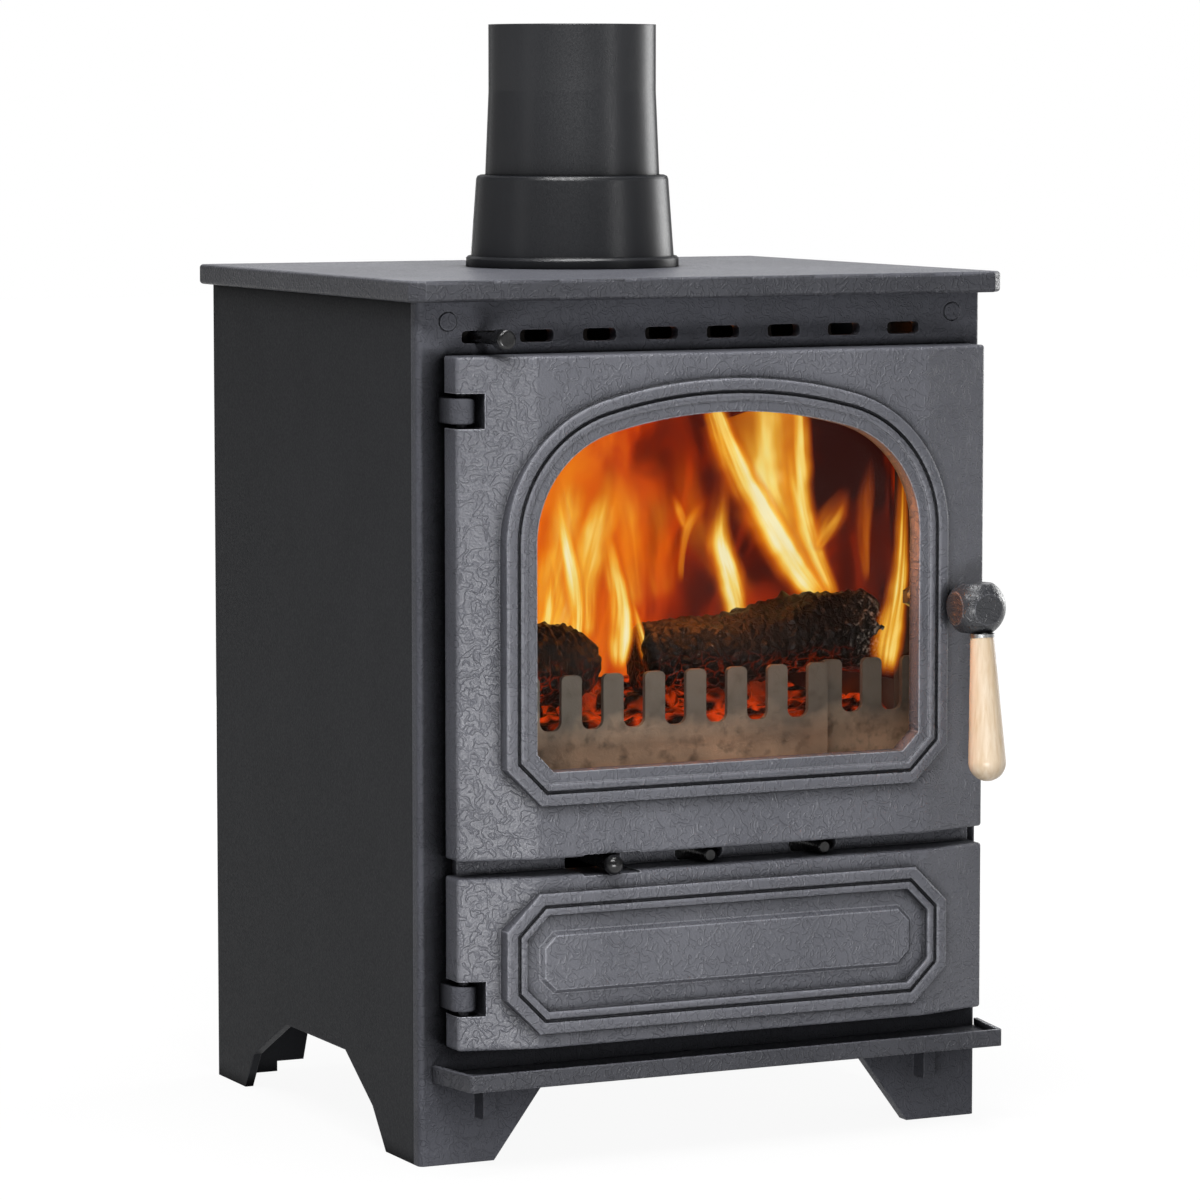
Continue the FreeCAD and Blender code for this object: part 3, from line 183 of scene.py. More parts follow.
@dataclass(frozen=True)
class StovePaint(Finish):
    """Matt heat-proof silicone paint sprayed on iron.

    It gives the eye a dry charcoal skin: faint clouds, a fine sprayed grain and, on castings,
    the thin winding veins of the sand mould. On this it paints light and shade into the colour: a painted
    highlight along edges, painted shade in inner corners and recesses between open_below_m and
    open_from_m, and painted shade, set by side_shade_share, on what doesn't face up.
    """

    title: str
    hex_colour: str
    hex_cloud: str
    roughness: float = 0.5
    specular: float = 0.5
    cloud_mm: float = 70.0
    vein_mm: float = 7.0
    vein_share: float = 0.8
    grain_mm: float = 1.5
    depth_mm: float = 0.2
    round_mm: float = 1.5
    edge_highlight_mm: float = 1.5
    edge_highlight_share: float = 0.8
    groove_mm: float = 12.0
    groove_shade_share: float = 0.12
    groove_from: float = 0.42
    open_from_m: float = 9.0
    open_below_m: float = -9.0
    fade_above_mm: float = 6.0
    fade_below_mm: float = 75.0
    hex_edge_highlight: str = "#9c9da6"
    rim_share: float = 1.0
    side_shade_share: float = 1.0

    def paint(self, tree: Tree, place: Socket) -> Inputs:
        """Wire clouds of colour, edges, corners and the veined, grainy skin.

        Args:
            tree: Node tree of the material.
            place: Object coordinates.

        Returns:
            Inputs of the Principled shader.
        """
        cloud = add(tree, "TexNoise", {"Vector": place, "Scale": per_mm(self.cloud_mm), "Detail": 4.0})
        patch = add(tree, "MapRange", {"Value": cloud, "From Min": 0.35, "From Max": 0.65})
        tint = add(tree, "Mix", {"Factor": patch, "A": self.hex_colour, "B": self.hex_cloud},
                   data_type="RGBA")
        # Painted highlight: where the bevelled normal turns away from the flat one, along edges,
        # hex_edge_highlight is mixed into the colour.
        eased = add(tree, "Bevel", {"Radius": self.edge_highlight_mm * MM}, samples=4)
        flat = add(tree, "NewGeometry").outputs["Normal"]
        alike = add(tree, "VectorMath", {0: eased, 1: flat}, operation="DOT_PRODUCT")
        edge = add(tree, "MapRange", {
            "Value": alike, "From Min": 0.84, "From Max": 0.99, "To Min": self.edge_highlight_share, "To Max": 0.0})
        # Painted shade: ambient occlusion darkens colour and gloss in inner corners, grooves and recesses;
        # the shade is lifted off above open_from_m and below open_below_m.
        hidden = add(tree, "AmbientOcclusion", {"Distance": self.groove_mm * MM}, samples=6)
        corner = add(tree, "MapRange", {
            "Value": hidden.outputs["AO"], "From Min": self.groove_from, "From Max": 0.93,
            "To Min": self.groove_shade_share})
        height = add(tree, "SeparateXYZ", {0: place}).outputs["Z"]
        above = add(tree, "MapRange", {
            "Value": height, "From Min": self.open_from_m,
            "From Max": self.open_from_m + self.fade_above_mm * MM})
        below = add(tree, "MapRange", {
            "Value": height, "From Min": self.open_below_m - self.fade_below_mm * MM,
            "From Max": self.open_below_m, "To Min": 1.0, "To Max": 0.0})
        shade = corner
        for end in (above, below):
            shade = add(tree, "Math", {0: shade, 1: end}, operation="MAXIMUM")
        # Painted shade: faces that don't face up are darkened, down to side_shade_share on upright faces.
        up = add(tree, "SeparateXYZ", {0: flat}).outputs["Z"]
        level = add(tree, "MapRange", {
            "Value": up, "From Min": 0.3, "From Max": 0.9, "To Min": self.side_shade_share})
        shade = add(tree, "Math", {0: shade, 1: level}, operation="MULTIPLY")
        highlighted = add(tree, "Mix", {"Factor": edge, "A": tint, "B": self.hex_edge_highlight}, data_type="RGBA")
        shaded = add(tree, "Mix", {"Factor": 1.0, "A": highlighted, "B": shade}, data_type="RGBA",
                     blend_type="MULTIPLY")
        rounded = add(tree, "Bevel", {"Radius": self.round_mm * MM}, samples=4)
        winding = add(tree, "TexNoise", {
            "Vector": place, "Scale": per_mm(self.vein_mm), "Detail": 1.5, "Distortion": 1.2})
        middle = add(tree, "Math", {0: winding, 1: 0.5}, operation="SUBTRACT")
        ridge = add(tree, "Math", {0: middle}, operation="ABSOLUTE")
        vein = add(tree, "MapRange", {
            "Value": ridge, "From Max": 0.06, "To Min": self.vein_share, "To Max": 0.0},
            interpolation_type="SMOOTHSTEP")
        # The sprayed grain is really about half a millimetre; it is drawn coarser so that it shows.
        grain = add(tree, "TexNoise", {"Vector": place, "Scale": per_mm(self.grain_mm), "Detail": 2.0})
        skin = add(tree, "Math", {0: grain, 1: vein}, operation="ADD")
        bump = add(tree, "Bump", {"Height": skin, "Distance": self.depth_mm * MM, "Normal": rounded})
        dry = add(tree, "MapRange", {
            "Value": grain, "From Min": 0.3, "From Max": 0.7,
            "To Min": self.roughness - 0.06, "To Max": self.roughness + 0.08})
        # A dry coat loses its gloss where it is seen edge on.
        facing = add(tree, "LayerWeight", {"Blend": 0.5}).outputs["Facing"]
        gloss = add(tree, "MapRange", {
            "Value": facing, "From Min": 0.3, "From Max": 0.8,
            "To Min": self.specular, "To Max": self.specular * self.rim_share})
        shine = add(tree, "Math", {0: gloss, 1: shade}, operation="MULTIPLY")
        return {"Base Color": shaded, "Roughness": dry, "Normal": bump, "Specular IOR Level": shine}


@dataclass(frozen=True)
class TurnedSteel(Finish):
    """Bare or plated steel as turned, rolled or cut, with fine lines and a few dull patches."""

    title: str
    hex_colour: str = "#b9bbbd"
    hex_dull: str = "#8a8a88"
    roughness: float = 0.34
    patch_mm: float = 14.0
    line_mm: float = 0.9
    line_depth_mm: float = 0.02

    def paint(self, tree: Tree, place: Socket) -> Inputs:
        """Wire fine tool lines and dull patches.

        Args:
            tree: Node tree of the material.
            place: Object coordinates.

        Returns:
            Inputs of the Principled shader.
        """
        patch = add(tree, "TexNoise", {"Vector": place, "Scale": per_mm(self.patch_mm), "Detail": 4.0})
        tint = add(tree, "Mix", {"Factor": patch, "A": self.hex_colour, "B": self.hex_dull}, data_type="RGBA")
        lines = add(tree, "TexNoise", {"Vector": place, "Scale": per_mm(self.line_mm), "Detail": 2.0})
        rough = add(tree, "MapRange", {
            "Value": lines, "To Min": self.roughness - 0.1, "To Max": self.roughness + 0.14})
        bump = add(tree, "Bump", {"Height": lines, "Distance": self.line_depth_mm * MM})
        return {"Base Color": tint, "Roughness": rough, "Normal": bump, "Metallic": 1.0}


@dataclass(frozen=True)
class HeatedSteel(Finish):
    """Plain rolled steel that has stood in the fire.

    It gives the eye a grey-brown scale with curled scratches, and a band of heat tint where the embers lie,
    drawn pale as painted light that lifts the sill's shadow and stands for the fire's warm glow on it.
    """

    title: str
    hex_scale: str = "#666056"
    hex_tan_lit: str = "#eccbaa"
    hex_soot: str = "#4a443a"
    low_m: float = 0.266
    high_m: float = 0.312
    cool_from_mm: float = 12.0
    cool_to_mm: float = 40.0
    patch_mm: float = 35.0
    spot_mm: float = 9.0
    curl_mm: float = 6.0
    curl_depth_mm: float = 0.35
    metallic: float = 0.35
    roughness: float = 0.48

    def paint(self, tree: Tree, place: Socket) -> Inputs:
        """Wire the tanned band, the soot patches and the scratches.

        Args:
            tree: Node tree of the material.
            place: Object coordinates.

        Returns:
            Inputs of the Principled shader.
        """
        height = add(tree, "SeparateXYZ", {0: place}).outputs["Z"]
        rise = add(tree, "MapRange", {"Value": height, "From Min": self.low_m, "From Max": self.high_m})
        patch = add(tree, "TexNoise", {"Vector": place, "Scale": per_mm(self.patch_mm), "Detail": 5.0})
        mixed = add(tree, "Math", {0: patch, 1: rise}, operation="ADD")
        cool = add(tree, "MapRange", {
            "Value": height, "From Min": self.low_m - self.cool_to_mm * MM,
            "From Max": self.low_m - self.cool_from_mm * MM, "To Min": 1.0, "To Max": 0.0})
        warm = add(tree, "MapRange", {"Value": mixed, "From Min": 0.3, "From Max": 1.1})
        share = add(tree, "Math", {0: cool, 1: warm}, operation="MAXIMUM")
        # Painted light: the tan is paler than heat tint alone, lifting the sill's shadow off the band and
        # standing for the fire's warm light on it.
        tan = add(tree, "Mix", {"Factor": share, "A": self.hex_tan_lit, "B": self.hex_scale}, data_type="RGBA")
        spots = add(tree, "TexNoise", {"Vector": place, "Scale": per_mm(self.spot_mm), "Detail": 6.0})
        sooty = add(tree, "MapRange", {"Value": spots, "From Min": 0.5, "From Max": 0.75, "To Max": 0.7})
        tint = add(tree, "Mix", {"Factor": sooty, "A": tan, "B": self.hex_soot}, data_type="RGBA")
        curls = add(tree, "TexNoise", {
            "Vector": place, "Scale": per_mm(self.curl_mm), "Detail": 2.0, "Distortion": 2.0})
        bump = add(tree, "Bump", {"Height": curls, "Distance": self.curl_depth_mm * MM})
        return {"Base Color": tint, "Normal": bump, "Metallic": self.metallic, "Roughness": self.roughness}


@dataclass(frozen=True)
class GlossBlack(Finish):
    """Stove-enamelled black steel: deep black with a wet highlight and slight orange peel."""

    title: str
    hex_colour: str = "#0d0d0e"
    roughness: float = 0.22
    peel_mm: float = 1.6
    peel_depth_mm: float = 0.03
    scuff_mm: float = 5.0

    def paint(self, tree: Tree, place: Socket) -> Inputs:
        """Wire the orange peel and small scuffs.

        Args:
            tree: Node tree of the material.
            place: Object coordinates.

        Returns:
            Inputs of the Principled shader.
        """
        peel = add(tree, "TexNoise", {"Vector": place, "Scale": per_mm(self.peel_mm), "Detail": 1.0})
        bump = add(tree, "Bump", {"Height": peel, "Distance": self.peel_depth_mm * MM})
        scuff = add(tree, "TexNoise", {"Vector": place, "Scale": per_mm(self.scuff_mm), "Detail": 5.0})
        rough = add(tree, "MapRange", {
            "Value": scuff, "From Min": 0.4, "From Max": 0.7,
            "To Min": self.roughness, "To Max": self.roughness + 0.15})
        return {"Base Color": self.hex_colour, "Roughness": rough, "Normal": bump}


@dataclass(frozen=True)
class LacqueredBeech(Finish):
    """Turned beech under clear lacquer: pale, straight grain with short darker flecks and a soft shine."""

    title: str
    hex_pale: str = "#e4d1b8"
    hex_grain: str = "#d4ba98"
    grain_mm: float = 2.6
    grain_draw: float = 0.05
    fleck_mm: float = 0.8
    fleck_draw: float = 0.16

    def paint(self, tree: Tree, place: Socket) -> Inputs:
        """Wire grain drawn out along the grip, and short flecks.

        Args:
            tree: Node tree of the material.
            place: Object coordinates.

        Returns:
            Inputs of the Principled shader.
        """
        drawn = add(tree, "Mapping", {"Vector": place, "Scale": (1.0, 1.0, self.grain_draw)})
        grain = add(tree, "TexNoise", {
            "Vector": drawn, "Scale": per_mm(self.grain_mm), "Detail": 3.0, "Distortion": 0.4})
        band = add(tree, "MapRange", {"Value": grain, "From Min": 0.35, "From Max": 0.7})
        flecked = add(tree, "Mapping", {"Vector": place, "Scale": (1.0, 1.0, self.fleck_draw)})
        fleck = add(tree, "TexNoise", {"Vector": flecked, "Scale": per_mm(self.fleck_mm), "Detail": 1.0})
        short = add(tree, "MapRange", {"Value": fleck, "From Min": 0.6, "From Max": 0.75, "To Max": 0.5})
        both = add(tree, "Math", {0: band, 1: short}, operation="MAXIMUM")
        tint = add(tree, "Mix", {"Factor": both, "A": self.hex_pale, "B": self.hex_grain}, data_type="RGBA")
        return {"Base Color": tint, "Roughness": 0.42, "Coat Weight": 0.25, "Coat Roughness": 0.2}


@dataclass(frozen=True)
class SootyBrick(Finish):
    """Pressed fire clay, or bare iron and steel, darkened by soot: gritty, dull and patchy."""

    title: str
    hex_clay: str = "#6e4a33"
    hex_soot: str = "#17110e"
    grit_mm: float = 2.2
    grit_depth_mm: float = 0.5
    patch_mm: float = 60.0

    def paint(self, tree: Tree, place: Socket) -> Inputs:
        """Wire soot patches and grit.

        Args:
            tree: Node tree of the material.
            place: Object coordinates.

        Returns:
            Inputs of the Principled shader.
        """
        patch = add(tree, "TexNoise", {"Vector": place, "Scale": per_mm(self.patch_mm), "Detail": 5.0})
        soot = add(tree, "MapRange", {"Value": patch, "From Min": 0.3, "From Max": 0.65})
        tint = add(tree, "Mix", {"Factor": soot, "A": self.hex_clay, "B": self.hex_soot}, data_type="RGBA")
        grit = add(tree, "TexNoise", {"Vector": place, "Scale": per_mm(self.grit_mm), "Detail": 4.0})
        bump = add(tree, "Bump", {"Height": grit, "Distance": self.grit_depth_mm * MM})
        return {"Base Color": tint, "Roughness": 0.9, "Normal": bump}


@dataclass(frozen=True)
class CeramicPane(Finish):
    """Clear ceramic glass, polished flat: nearly unseen, with a faint, patchy bloom of smoke."""

    title: str
    hex_smoke: str = "#2a1d14"
    opacity: float = 0.06
    film_mm: float = 45.0

    def paint(self, tree: Tree, place: Socket) -> Inputs:
        """Wire a patchy smoke film into the pane's opacity.

        Args:
            tree: Node tree of the material.
            place: Object coordinates.

        Returns:
            Inputs of the Principled shader.
        """
        film = add(tree, "TexNoise", {"Vector": place, "Scale": per_mm(self.film_mm), "Detail": 3.0})
        veil = add(tree, "MapRange", {
            "Value": film, "From Min": 0.3, "From Max": 0.8,
            "To Min": self.opacity * 0.4, "To Max": self.opacity * 1.6})
        return {"Base Color": self.hex_smoke, "Roughness": 0.04, "Alpha": veil}


@dataclass(frozen=True)
class FibreBraid(Finish):
    """Black glass-fibre yarn, braided or woven flat: crossing diagonal strands, dull with a slight sheen."""

    title: str
    hex_crown_lit: str = "#3a3a3c"
    hex_dip_shaded: str = "#121213"
    strand_mm: float = 4.0
    strand_depth_mm: float = 0.6
    lay_deg: float = 40.0

    def paint(self, tree: Tree, place: Socket) -> Inputs:
        """Wire two crossing sets of diagonal strands.

        Args:
            tree: Node tree of the material.
            place: Object coordinates.

        Returns:
            Inputs of the Principled shader.
        """
        # A wave texture of scale 1 runs through 20 radians in each metre.
        scale = per_mm(self.strand_mm) * math.pi / 10
        strands = []
        for turn in (self.lay_deg, -self.lay_deg):
            turned = add(tree, "Mapping", {"Vector": place, "Rotation": (0.0, math.radians(turn), 0.0)})
            wave = add(tree, "TexWave", {"Vector": turned, "Scale": scale, "Distortion": 0.6},
                       wave_profile="SIN")
            strands.append(wave.outputs[1])
        cross = add(tree, "Math", dict(enumerate(strands)), operation="MAXIMUM")
        # Painted shade and highlight: the colour follows the strands' height, darker in the dips between them
        # and paler on their crowns.
        tint = add(tree, "Mix", {"Factor": cross, "A": self.hex_dip_shaded, "B": self.hex_crown_lit}, data_type="RGBA")
        bump = add(tree, "Bump", {"Height": cross, "Distance": self.strand_depth_mm * MM})
        return {"Base Color": tint, "Roughness": 0.85, "Sheen Weight": 0.2, "Normal": bump}


@dataclass(frozen=True)
class CharredWood(Finish):
    """Wood burnt to charcoal: black scaly cells, grey ash on one end, a red glow down in the cracks."""

    title: str
    hex_char: str = "#070605"
    hex_brown: str = "#1b1614"
    hex_ash: str = "#8b847b"
    hex_glow: str = "#ff4a0a"
    cell_mm: float = 8.0
    bend_mm: float = 12.0
    bend_reach_mm: float = 8.0
    grit_mm: float = 3.0
    grit_share: float = 0.45
    relief_mm: float = 2.6
    crack_share: float = 0.09
    live_mm: float = 26.0
    glow: float = 0.35
    low_m: float = 0.3
    high_m: float = 0.335
    ash_from_m: float = 0.14
    ash_to_m: float = 0.176
    dark_m: float = 0.262
    dark_fade_mm: float = 12.0
    roughness: float = 0.3
    specular: float = 0.08

    def paint(self, tree: Tree, place: Socket) -> Inputs:
        """Wire scales, ash flecks and glowing cracks.

        Args:
            tree: Node tree of the material.
            place: Object coordinates.

        Returns:
            Inputs of the Principled shader.
        """
        bent = add(tree, "TexNoise", {"Vector": place, "Scale": per_mm(self.bend_mm), "Detail": 3.0})
        shift = add(tree, "VectorMath", {0: bent.outputs[1], "Scale": self.bend_reach_mm * MM},
                    operation="SCALE")
        moved = add(tree, "VectorMath", {0: place, 1: shift}, operation="ADD")
        cells = add(tree, "TexVoronoi", {"Vector": moved, "Scale": per_mm(self.cell_mm)},
                    feature="DISTANCE_TO_EDGE")
        fine = add(tree, "TexNoise", {"Vector": place, "Scale": per_mm(self.grit_mm), "Detail": 6.0})
        tone = add(tree, "MapRange", {"Value": fine, "From Min": 0.35, "From Max": 0.7})
        skin = add(tree, "Mix", {"Factor": tone, "A": self.hex_char, "B": self.hex_brown}, data_type="RGBA")
        where = add(tree, "SeparateXYZ", {0: place}).outputs
        burnt = add(tree, "MapRange", {
            "Value": where["X"], "From Min": self.ash_from_m, "From Max": self.ash_to_m, "To Max": 0.2})
        light = add(tree, "Math", {0: fine, 1: burnt}, operation="ADD")
        fleck = add(tree, "MapRange", {"Value": light, "From Min": 0.66, "From Max": 0.8})
        ashy = add(tree, "Mix", {"Factor": fleck, "A": skin, "B": self.hex_ash}, data_type="RGBA")
        crack = add(tree, "MapRange", {
            "Value": cells, "From Max": self.crack_share, "To Min": 1.0, "To Max": 0.0},
            interpolation_type="SMOOTHSTEP")
        low = add(tree, "MapRange", {
            "Value": where["Z"], "From Min": self.low_m, "From Max": self.high_m,
            "To Min": 1.0, "To Max": 0.0})
        foot = add(tree, "MapRange", {
            "Value": where["Z"], "From Min": self.dark_m, "From Max": self.dark_m + self.dark_fade_mm * MM})
        live = add(tree, "TexNoise", {"Vector": place, "Scale": per_mm(self.live_mm), "Detail": 2.0})
        lit = add(tree, "MapRange", {"Value": live, "From Min": 0.42, "From Max": 0.62})
        seam = low
        for part in (foot, lit, crack):
            seam = add(tree, "Math", {0: seam, 1: part}, operation="MULTIPLY")
        warm = add(tree, "Mix", {"Factor": seam, "A": BLACK, "B": self.hex_glow}, data_type="RGBA")
        grit = add(tree, "Math", {0: fine, 1: self.grit_share}, operation="MULTIPLY")
        relief = add(tree, "Math", {0: cells, 1: grit}, operation="ADD")
        bump = add(tree, "Bump", {"Height": relief, "Distance": self.relief_mm * MM})
        return {"Base Color": ashy, "Roughness": self.roughness, "Specular IOR Level": self.specular,
                "Normal": bump, "Emission Color": warm, "Emission Strength": self.glow}


@dataclass(frozen=True)
class FlameLight(Finish):
    """Burning gas, seen as light alone.

    It gives the eye a pale yellow core with orange round it, and red where it thins to nothing.
    """

    title: str
    heat: float = 1.0
    streaks: float = 5.0
    streak_draw: float = 4.0
    layer_mm: float = 30.0
    waver_mm: float = 42.0
    waver_share: float = 0.16

    def paint(self, tree: Tree, place: Socket) -> Inputs:
        """Wire the tongue's own flow map and wavering streaks into light and opacity.

        Args:
            tree: Node tree of the material.
            place: Object coordinates.

        Returns:
            Inputs of the Principled shader.
        """
        flow = add(tree, "SeparateXYZ", {0: add(tree, "UVMap", uv_map="flow")}).outputs
        across = add(tree, "Math", {0: flow["X"], 1: 2.0, 2: -1.0}, operation="MULTIPLY_ADD")
        waver = add(tree, "TexNoise", {"Vector": place, "Scale": per_mm(self.waver_mm), "Detail": 2.0})
        swing = add(tree, "MapRange", {
            "Value": waver, "From Min": 0.3, "From Max": 0.7,
            "To Min": -self.waver_share, "To Max": self.waver_share})
        moved = add(tree, "Math", {0: across, 1: swing}, operation="ADD")
        side = add(tree, "Math", {0: moved}, operation="ABSOLUTE")
        rim = add(tree, "Math", {0: across}, operation="ABSOLUTE")
        deep = add(tree, "SeparateXYZ", {0: place}).outputs["Y"]
        layer = add(tree, "Math", {0: deep, 1: per_mm(self.layer_mm)}, operation="MULTIPLY")
        lane = add(tree, "CombineXYZ", {0: flow["X"], 1: flow["Y"], 2: layer})
        drawn = add(tree, "Mapping", {
            "Vector": lane, "Scale": (self.streaks, self.streaks / self.streak_draw, 1.0)})
        streak = add(tree, "TexNoise", {"Vector": drawn, "Scale": 1.0, "Detail": 2.5, "Distortion": 0.3})
        gain = add(tree, "MapRange", {
            "Value": streak, "From Min": 0.3, "From Max": 0.7, "To Min": 0.52, "To Max": 1.14})
        # The light fades toward both sides, the rim, the root and the tip.
        fades = ((side, 0.0, 0.95, 1.0), (rim, 0.7, 0.98, 1.0), (flow["Y"], 0.0, 0.14, 0.0),
                 (flow["Y"], 0.45, 1.0, 1.0))
        for value, start, stop, share in fades:
            fade = add(tree, "MapRange", {
                "Value": value, "From Min": start, "From Max": stop, "To Min": share, "To Max": 1.0 - share},
                interpolation_type="SMOOTHSTEP")
            gain = add(tree, "Math", {0: gain, 1: fade}, operation="MULTIPLY")
        heat = add(tree, "Math", {0: gain, 1: self.heat}, operation="MULTIPLY")
        light = add(tree, "ValToRGB", {0: heat}, stops=(
            (0.0, "#cf3f06"), (0.22, "#ea6a0c"), (0.42, "#f9921a"), (0.62, "#ffb93a"), (0.82, "#ffe07a"),
            (1.0, "#fff3c0")))
        thick = add(tree, "MapRange", {"Value": heat, "From Min": 0.01, "From Max": 0.75})
        return {"Base Color": BLACK, "Roughness": 1.0, "Specular IOR Level": 0.0, "Emission Color": light,
                "Emission Strength": 1.0, "Alpha": thick}


@dataclass(frozen=True)
class GlowVeil(Finish):
    """Thin flame and lit smoke hanging at the back of the fire: maroon, streaked with dull orange."""

    title: str
    cloud_mm: float = 40.0
    cloud_draw: float = 0.38
    hot_side_m: float = -0.05
    cool_side_m: float = 0.13
    low_m: float = 0.33
    high_m: float = 0.48
    hollow_m: Triple = (0.055, 0.05, 0.462)
    hollow_mm: float = 34.0

    def paint(self, tree: Tree, place: Socket) -> Inputs:
        """Wire drawn-out clouds of dull light, hotter on the left.

        Args:
            tree: Node tree of the material.
            place: Object coordinates.

        Returns:
            Inputs of the Principled shader.
        """
        drawn = add(tree, "Mapping", {"Vector": place, "Scale": (1.0, 1.0, self.cloud_draw)})
        heat = add(tree, "TexNoise", {
            "Vector": drawn, "Scale": per_mm(self.cloud_mm), "Detail": 3.0, "Distortion": 0.9})
        where = add(tree, "SeparateXYZ", {0: place}).outputs
        side = add(tree, "MapRange", {
            "Value": where["X"], "From Min": self.hot_side_m, "From Max": self.cool_side_m,
            "To Min": 0.36, "To Max": -0.13})
        rise = add(tree, "MapRange", {
            "Value": where["Z"], "From Min": self.low_m, "From Max": self.high_m,
            "To Min": 0.06, "To Max": -0.02})
        gap = add(tree, "VectorMath", {0: place, 1: self.hollow_m}, operation="DISTANCE")
        hollow = add(tree, "MapRange", {
            "Value": gap, "From Max": self.hollow_mm * MM, "To Min": -0.3, "To Max": 0.0},
            interpolation_type="SMOOTHSTEP")
        for part in (side, rise, hollow):
            heat = add(tree, "Math", {0: heat, 1: part}, operation="ADD")
        light = add(tree, "ValToRGB", {0: heat}, stops=(
            (0.3, "#2c0e0b"), (0.45, "#571509"), (0.58, "#8f2407"), (0.7, "#c53c06"), (0.85, "#e8680c"),
            (1.0, "#f88a18")))
        return {"Base Color": BLACK, "Specular IOR Level": 0.0, "Emission Color": light,
                "Emission Strength": 1.0}


@dataclass(frozen=True)
class StudioFloor(Finish):
    """Dull painted studio floor that looks white, and keeps the stove's shadow."""

    title: str
    hex_grey: str = "#4c4c4c"
    lift: Pair = (0.93, 1.0)
    lift_reach_m: Pair = (0.5, 1.6)

    def paint(self, tree: Tree, place: Socket) -> Inputs:
        """Wire the white that the camera and shiny surfaces see, a little less near the stove.

        Args:
            tree: Node tree of the material.
            place: Object coordinates.

        Returns:
            Inputs of the Principled shader.
        """
        away = add(tree, "VectorMath", {0: place}, operation="LENGTH")
        level = add(tree, "MapRange", {
            "Value": away, "From Min": self.lift_reach_m[0], "From Max": self.lift_reach_m[1],
            "To Min": self.lift[0], "To Max": self.lift[1]}, interpolation_type="SMOOTHSTEP")
        white = add(tree, "Math", {0: seen(tree), 1: level}, operation="MULTIPLY")
        return {"Base Color": self.hex_grey, "Roughness": 1.0, "Specular IOR Level": 0.0,
                "Emission Color": WHITE, "Emission Strength": white}


CAST_PAINT = StovePaint(
    "charcoal_stove_paint_on_cast_iron", "#62636a", "#595a61", roughness=0.36, depth_mm=0.5, vein_mm=8.0,
    round_mm=4.0, edge_highlight_share=1.0, groove_mm=10.0, groove_from=0.52, hex_edge_highlight="#c2c3cc", rim_share=0.3)
# The top plate and shelf get painted shade on their upright edges and sides, half as light as their tops.
LEVEL_PAINT = StovePaint(
    "charcoal_stove_paint_on_level_castings", "#62636a", "#595a61", roughness=0.36, depth_mm=0.5,
    vein_mm=8.0, round_mm=2.5, edge_highlight_share=0.7, rim_share=0.3, side_shade_share=0.5)
HEAD_PAINT = StovePaint(
    "polished_stove_paint_on_cast_iron", "#333438", "#2f3033", roughness=0.3, depth_mm=0.3, round_mm=2.0)
# Painted shadow: the 45 mm occlusion reach darkens the frame beside the proud door, between its foot and top,
# as the door's shadow.
FRAME_PAINT = StovePaint(
    "charcoal_stove_paint_on_front_frame", "#52535a", "#4b4c52", specular=0.16, depth_mm=0.4, groove_mm=45.0,
    groove_shade_share=0.03, groove_from=0.68, open_from_m=0.548, open_below_m=0.085, hex_edge_highlight="#74757c")
# Painted shade: the plates carry the castings' charcoal paint, drawn much darker here to shade the sides,
# back and base.
PLATE_PAINT = StovePaint(
    "charcoal_stove_paint_on_steel_plate", "#2c2d30", "#292a2d", vein_share=0.12, depth_mm=0.1,
    specular=0.06, hex_edge_highlight="#57585c")
PIPE_PAINT = StovePaint(
    "charcoal_stove_paint_on_flue_pipe", "#232427", "#202124", vein_share=0.0, roughness=0.34, grain_mm=1.2,
    depth_mm=0.06, hex_edge_highlight="#4a4b4f", rim_share=0.02)
BRIGHT_STEEL = TurnedSteel("zinc_plated_steel")
FENCE_STEEL = HeatedSteel("heat_tinted_rolled_steel")
BLACK_ENAMEL = GlossBlack("black_enamelled_steel")
BEECH = LacqueredBeech("lacquered_beech")
CLAY_BRICK = SootyBrick("sooted_fire_clay_brick")
BARE_IRON = SootyBrick("sooted_bare_cast_iron", "#3a332d", "#14110f", 1.6)
SOOTED_STEEL = SootyBrick("sooted_pressed_steel", "#1b1714", "#0c0a09", 1.6)
PANE = CeramicPane("clear_ceramic_glass")
BRAID = FibreBraid("black_glass_fibre_braid")
CHAR = CharredWood("charred_oak")
EMBERS = CharredWood(
    "glowing_embers", hex_brown="#2a1510", hex_ash="#4a3a32", cell_mm=15.0, crack_share=0.3, glow=0.8,
    low_m=0.28, high_m=0.312, ash_from_m=0.19, ash_to_m=0.2)
HOT_FLAME = FlameLight("flame_hot", 1.04)
WARM_FLAME = FlameLight("flame_warm", 0.8)
DULL_FLAME = FlameLight("flame_dull", 0.55)
FAINT_FLAME = FlameLight("flame_faint", 0.36)
VEIL = GlowVeil("flame_glow_veil")
FLOOR_PAINT = StudioFloor("white_studio_floor")


def dress(finish: Finish, *nodes: str) -> None:
    """Give CAD nodes a finish through their material slots.

    Args:
        finish: Finish to put on.
        *nodes: Names of CAD nodes.
    """
    for name in nodes:
        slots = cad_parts[name].data.materials
        slots.clear()
        slots.append(finish.material())
        LOG.info("dressed %s with %s", name, finish.title)


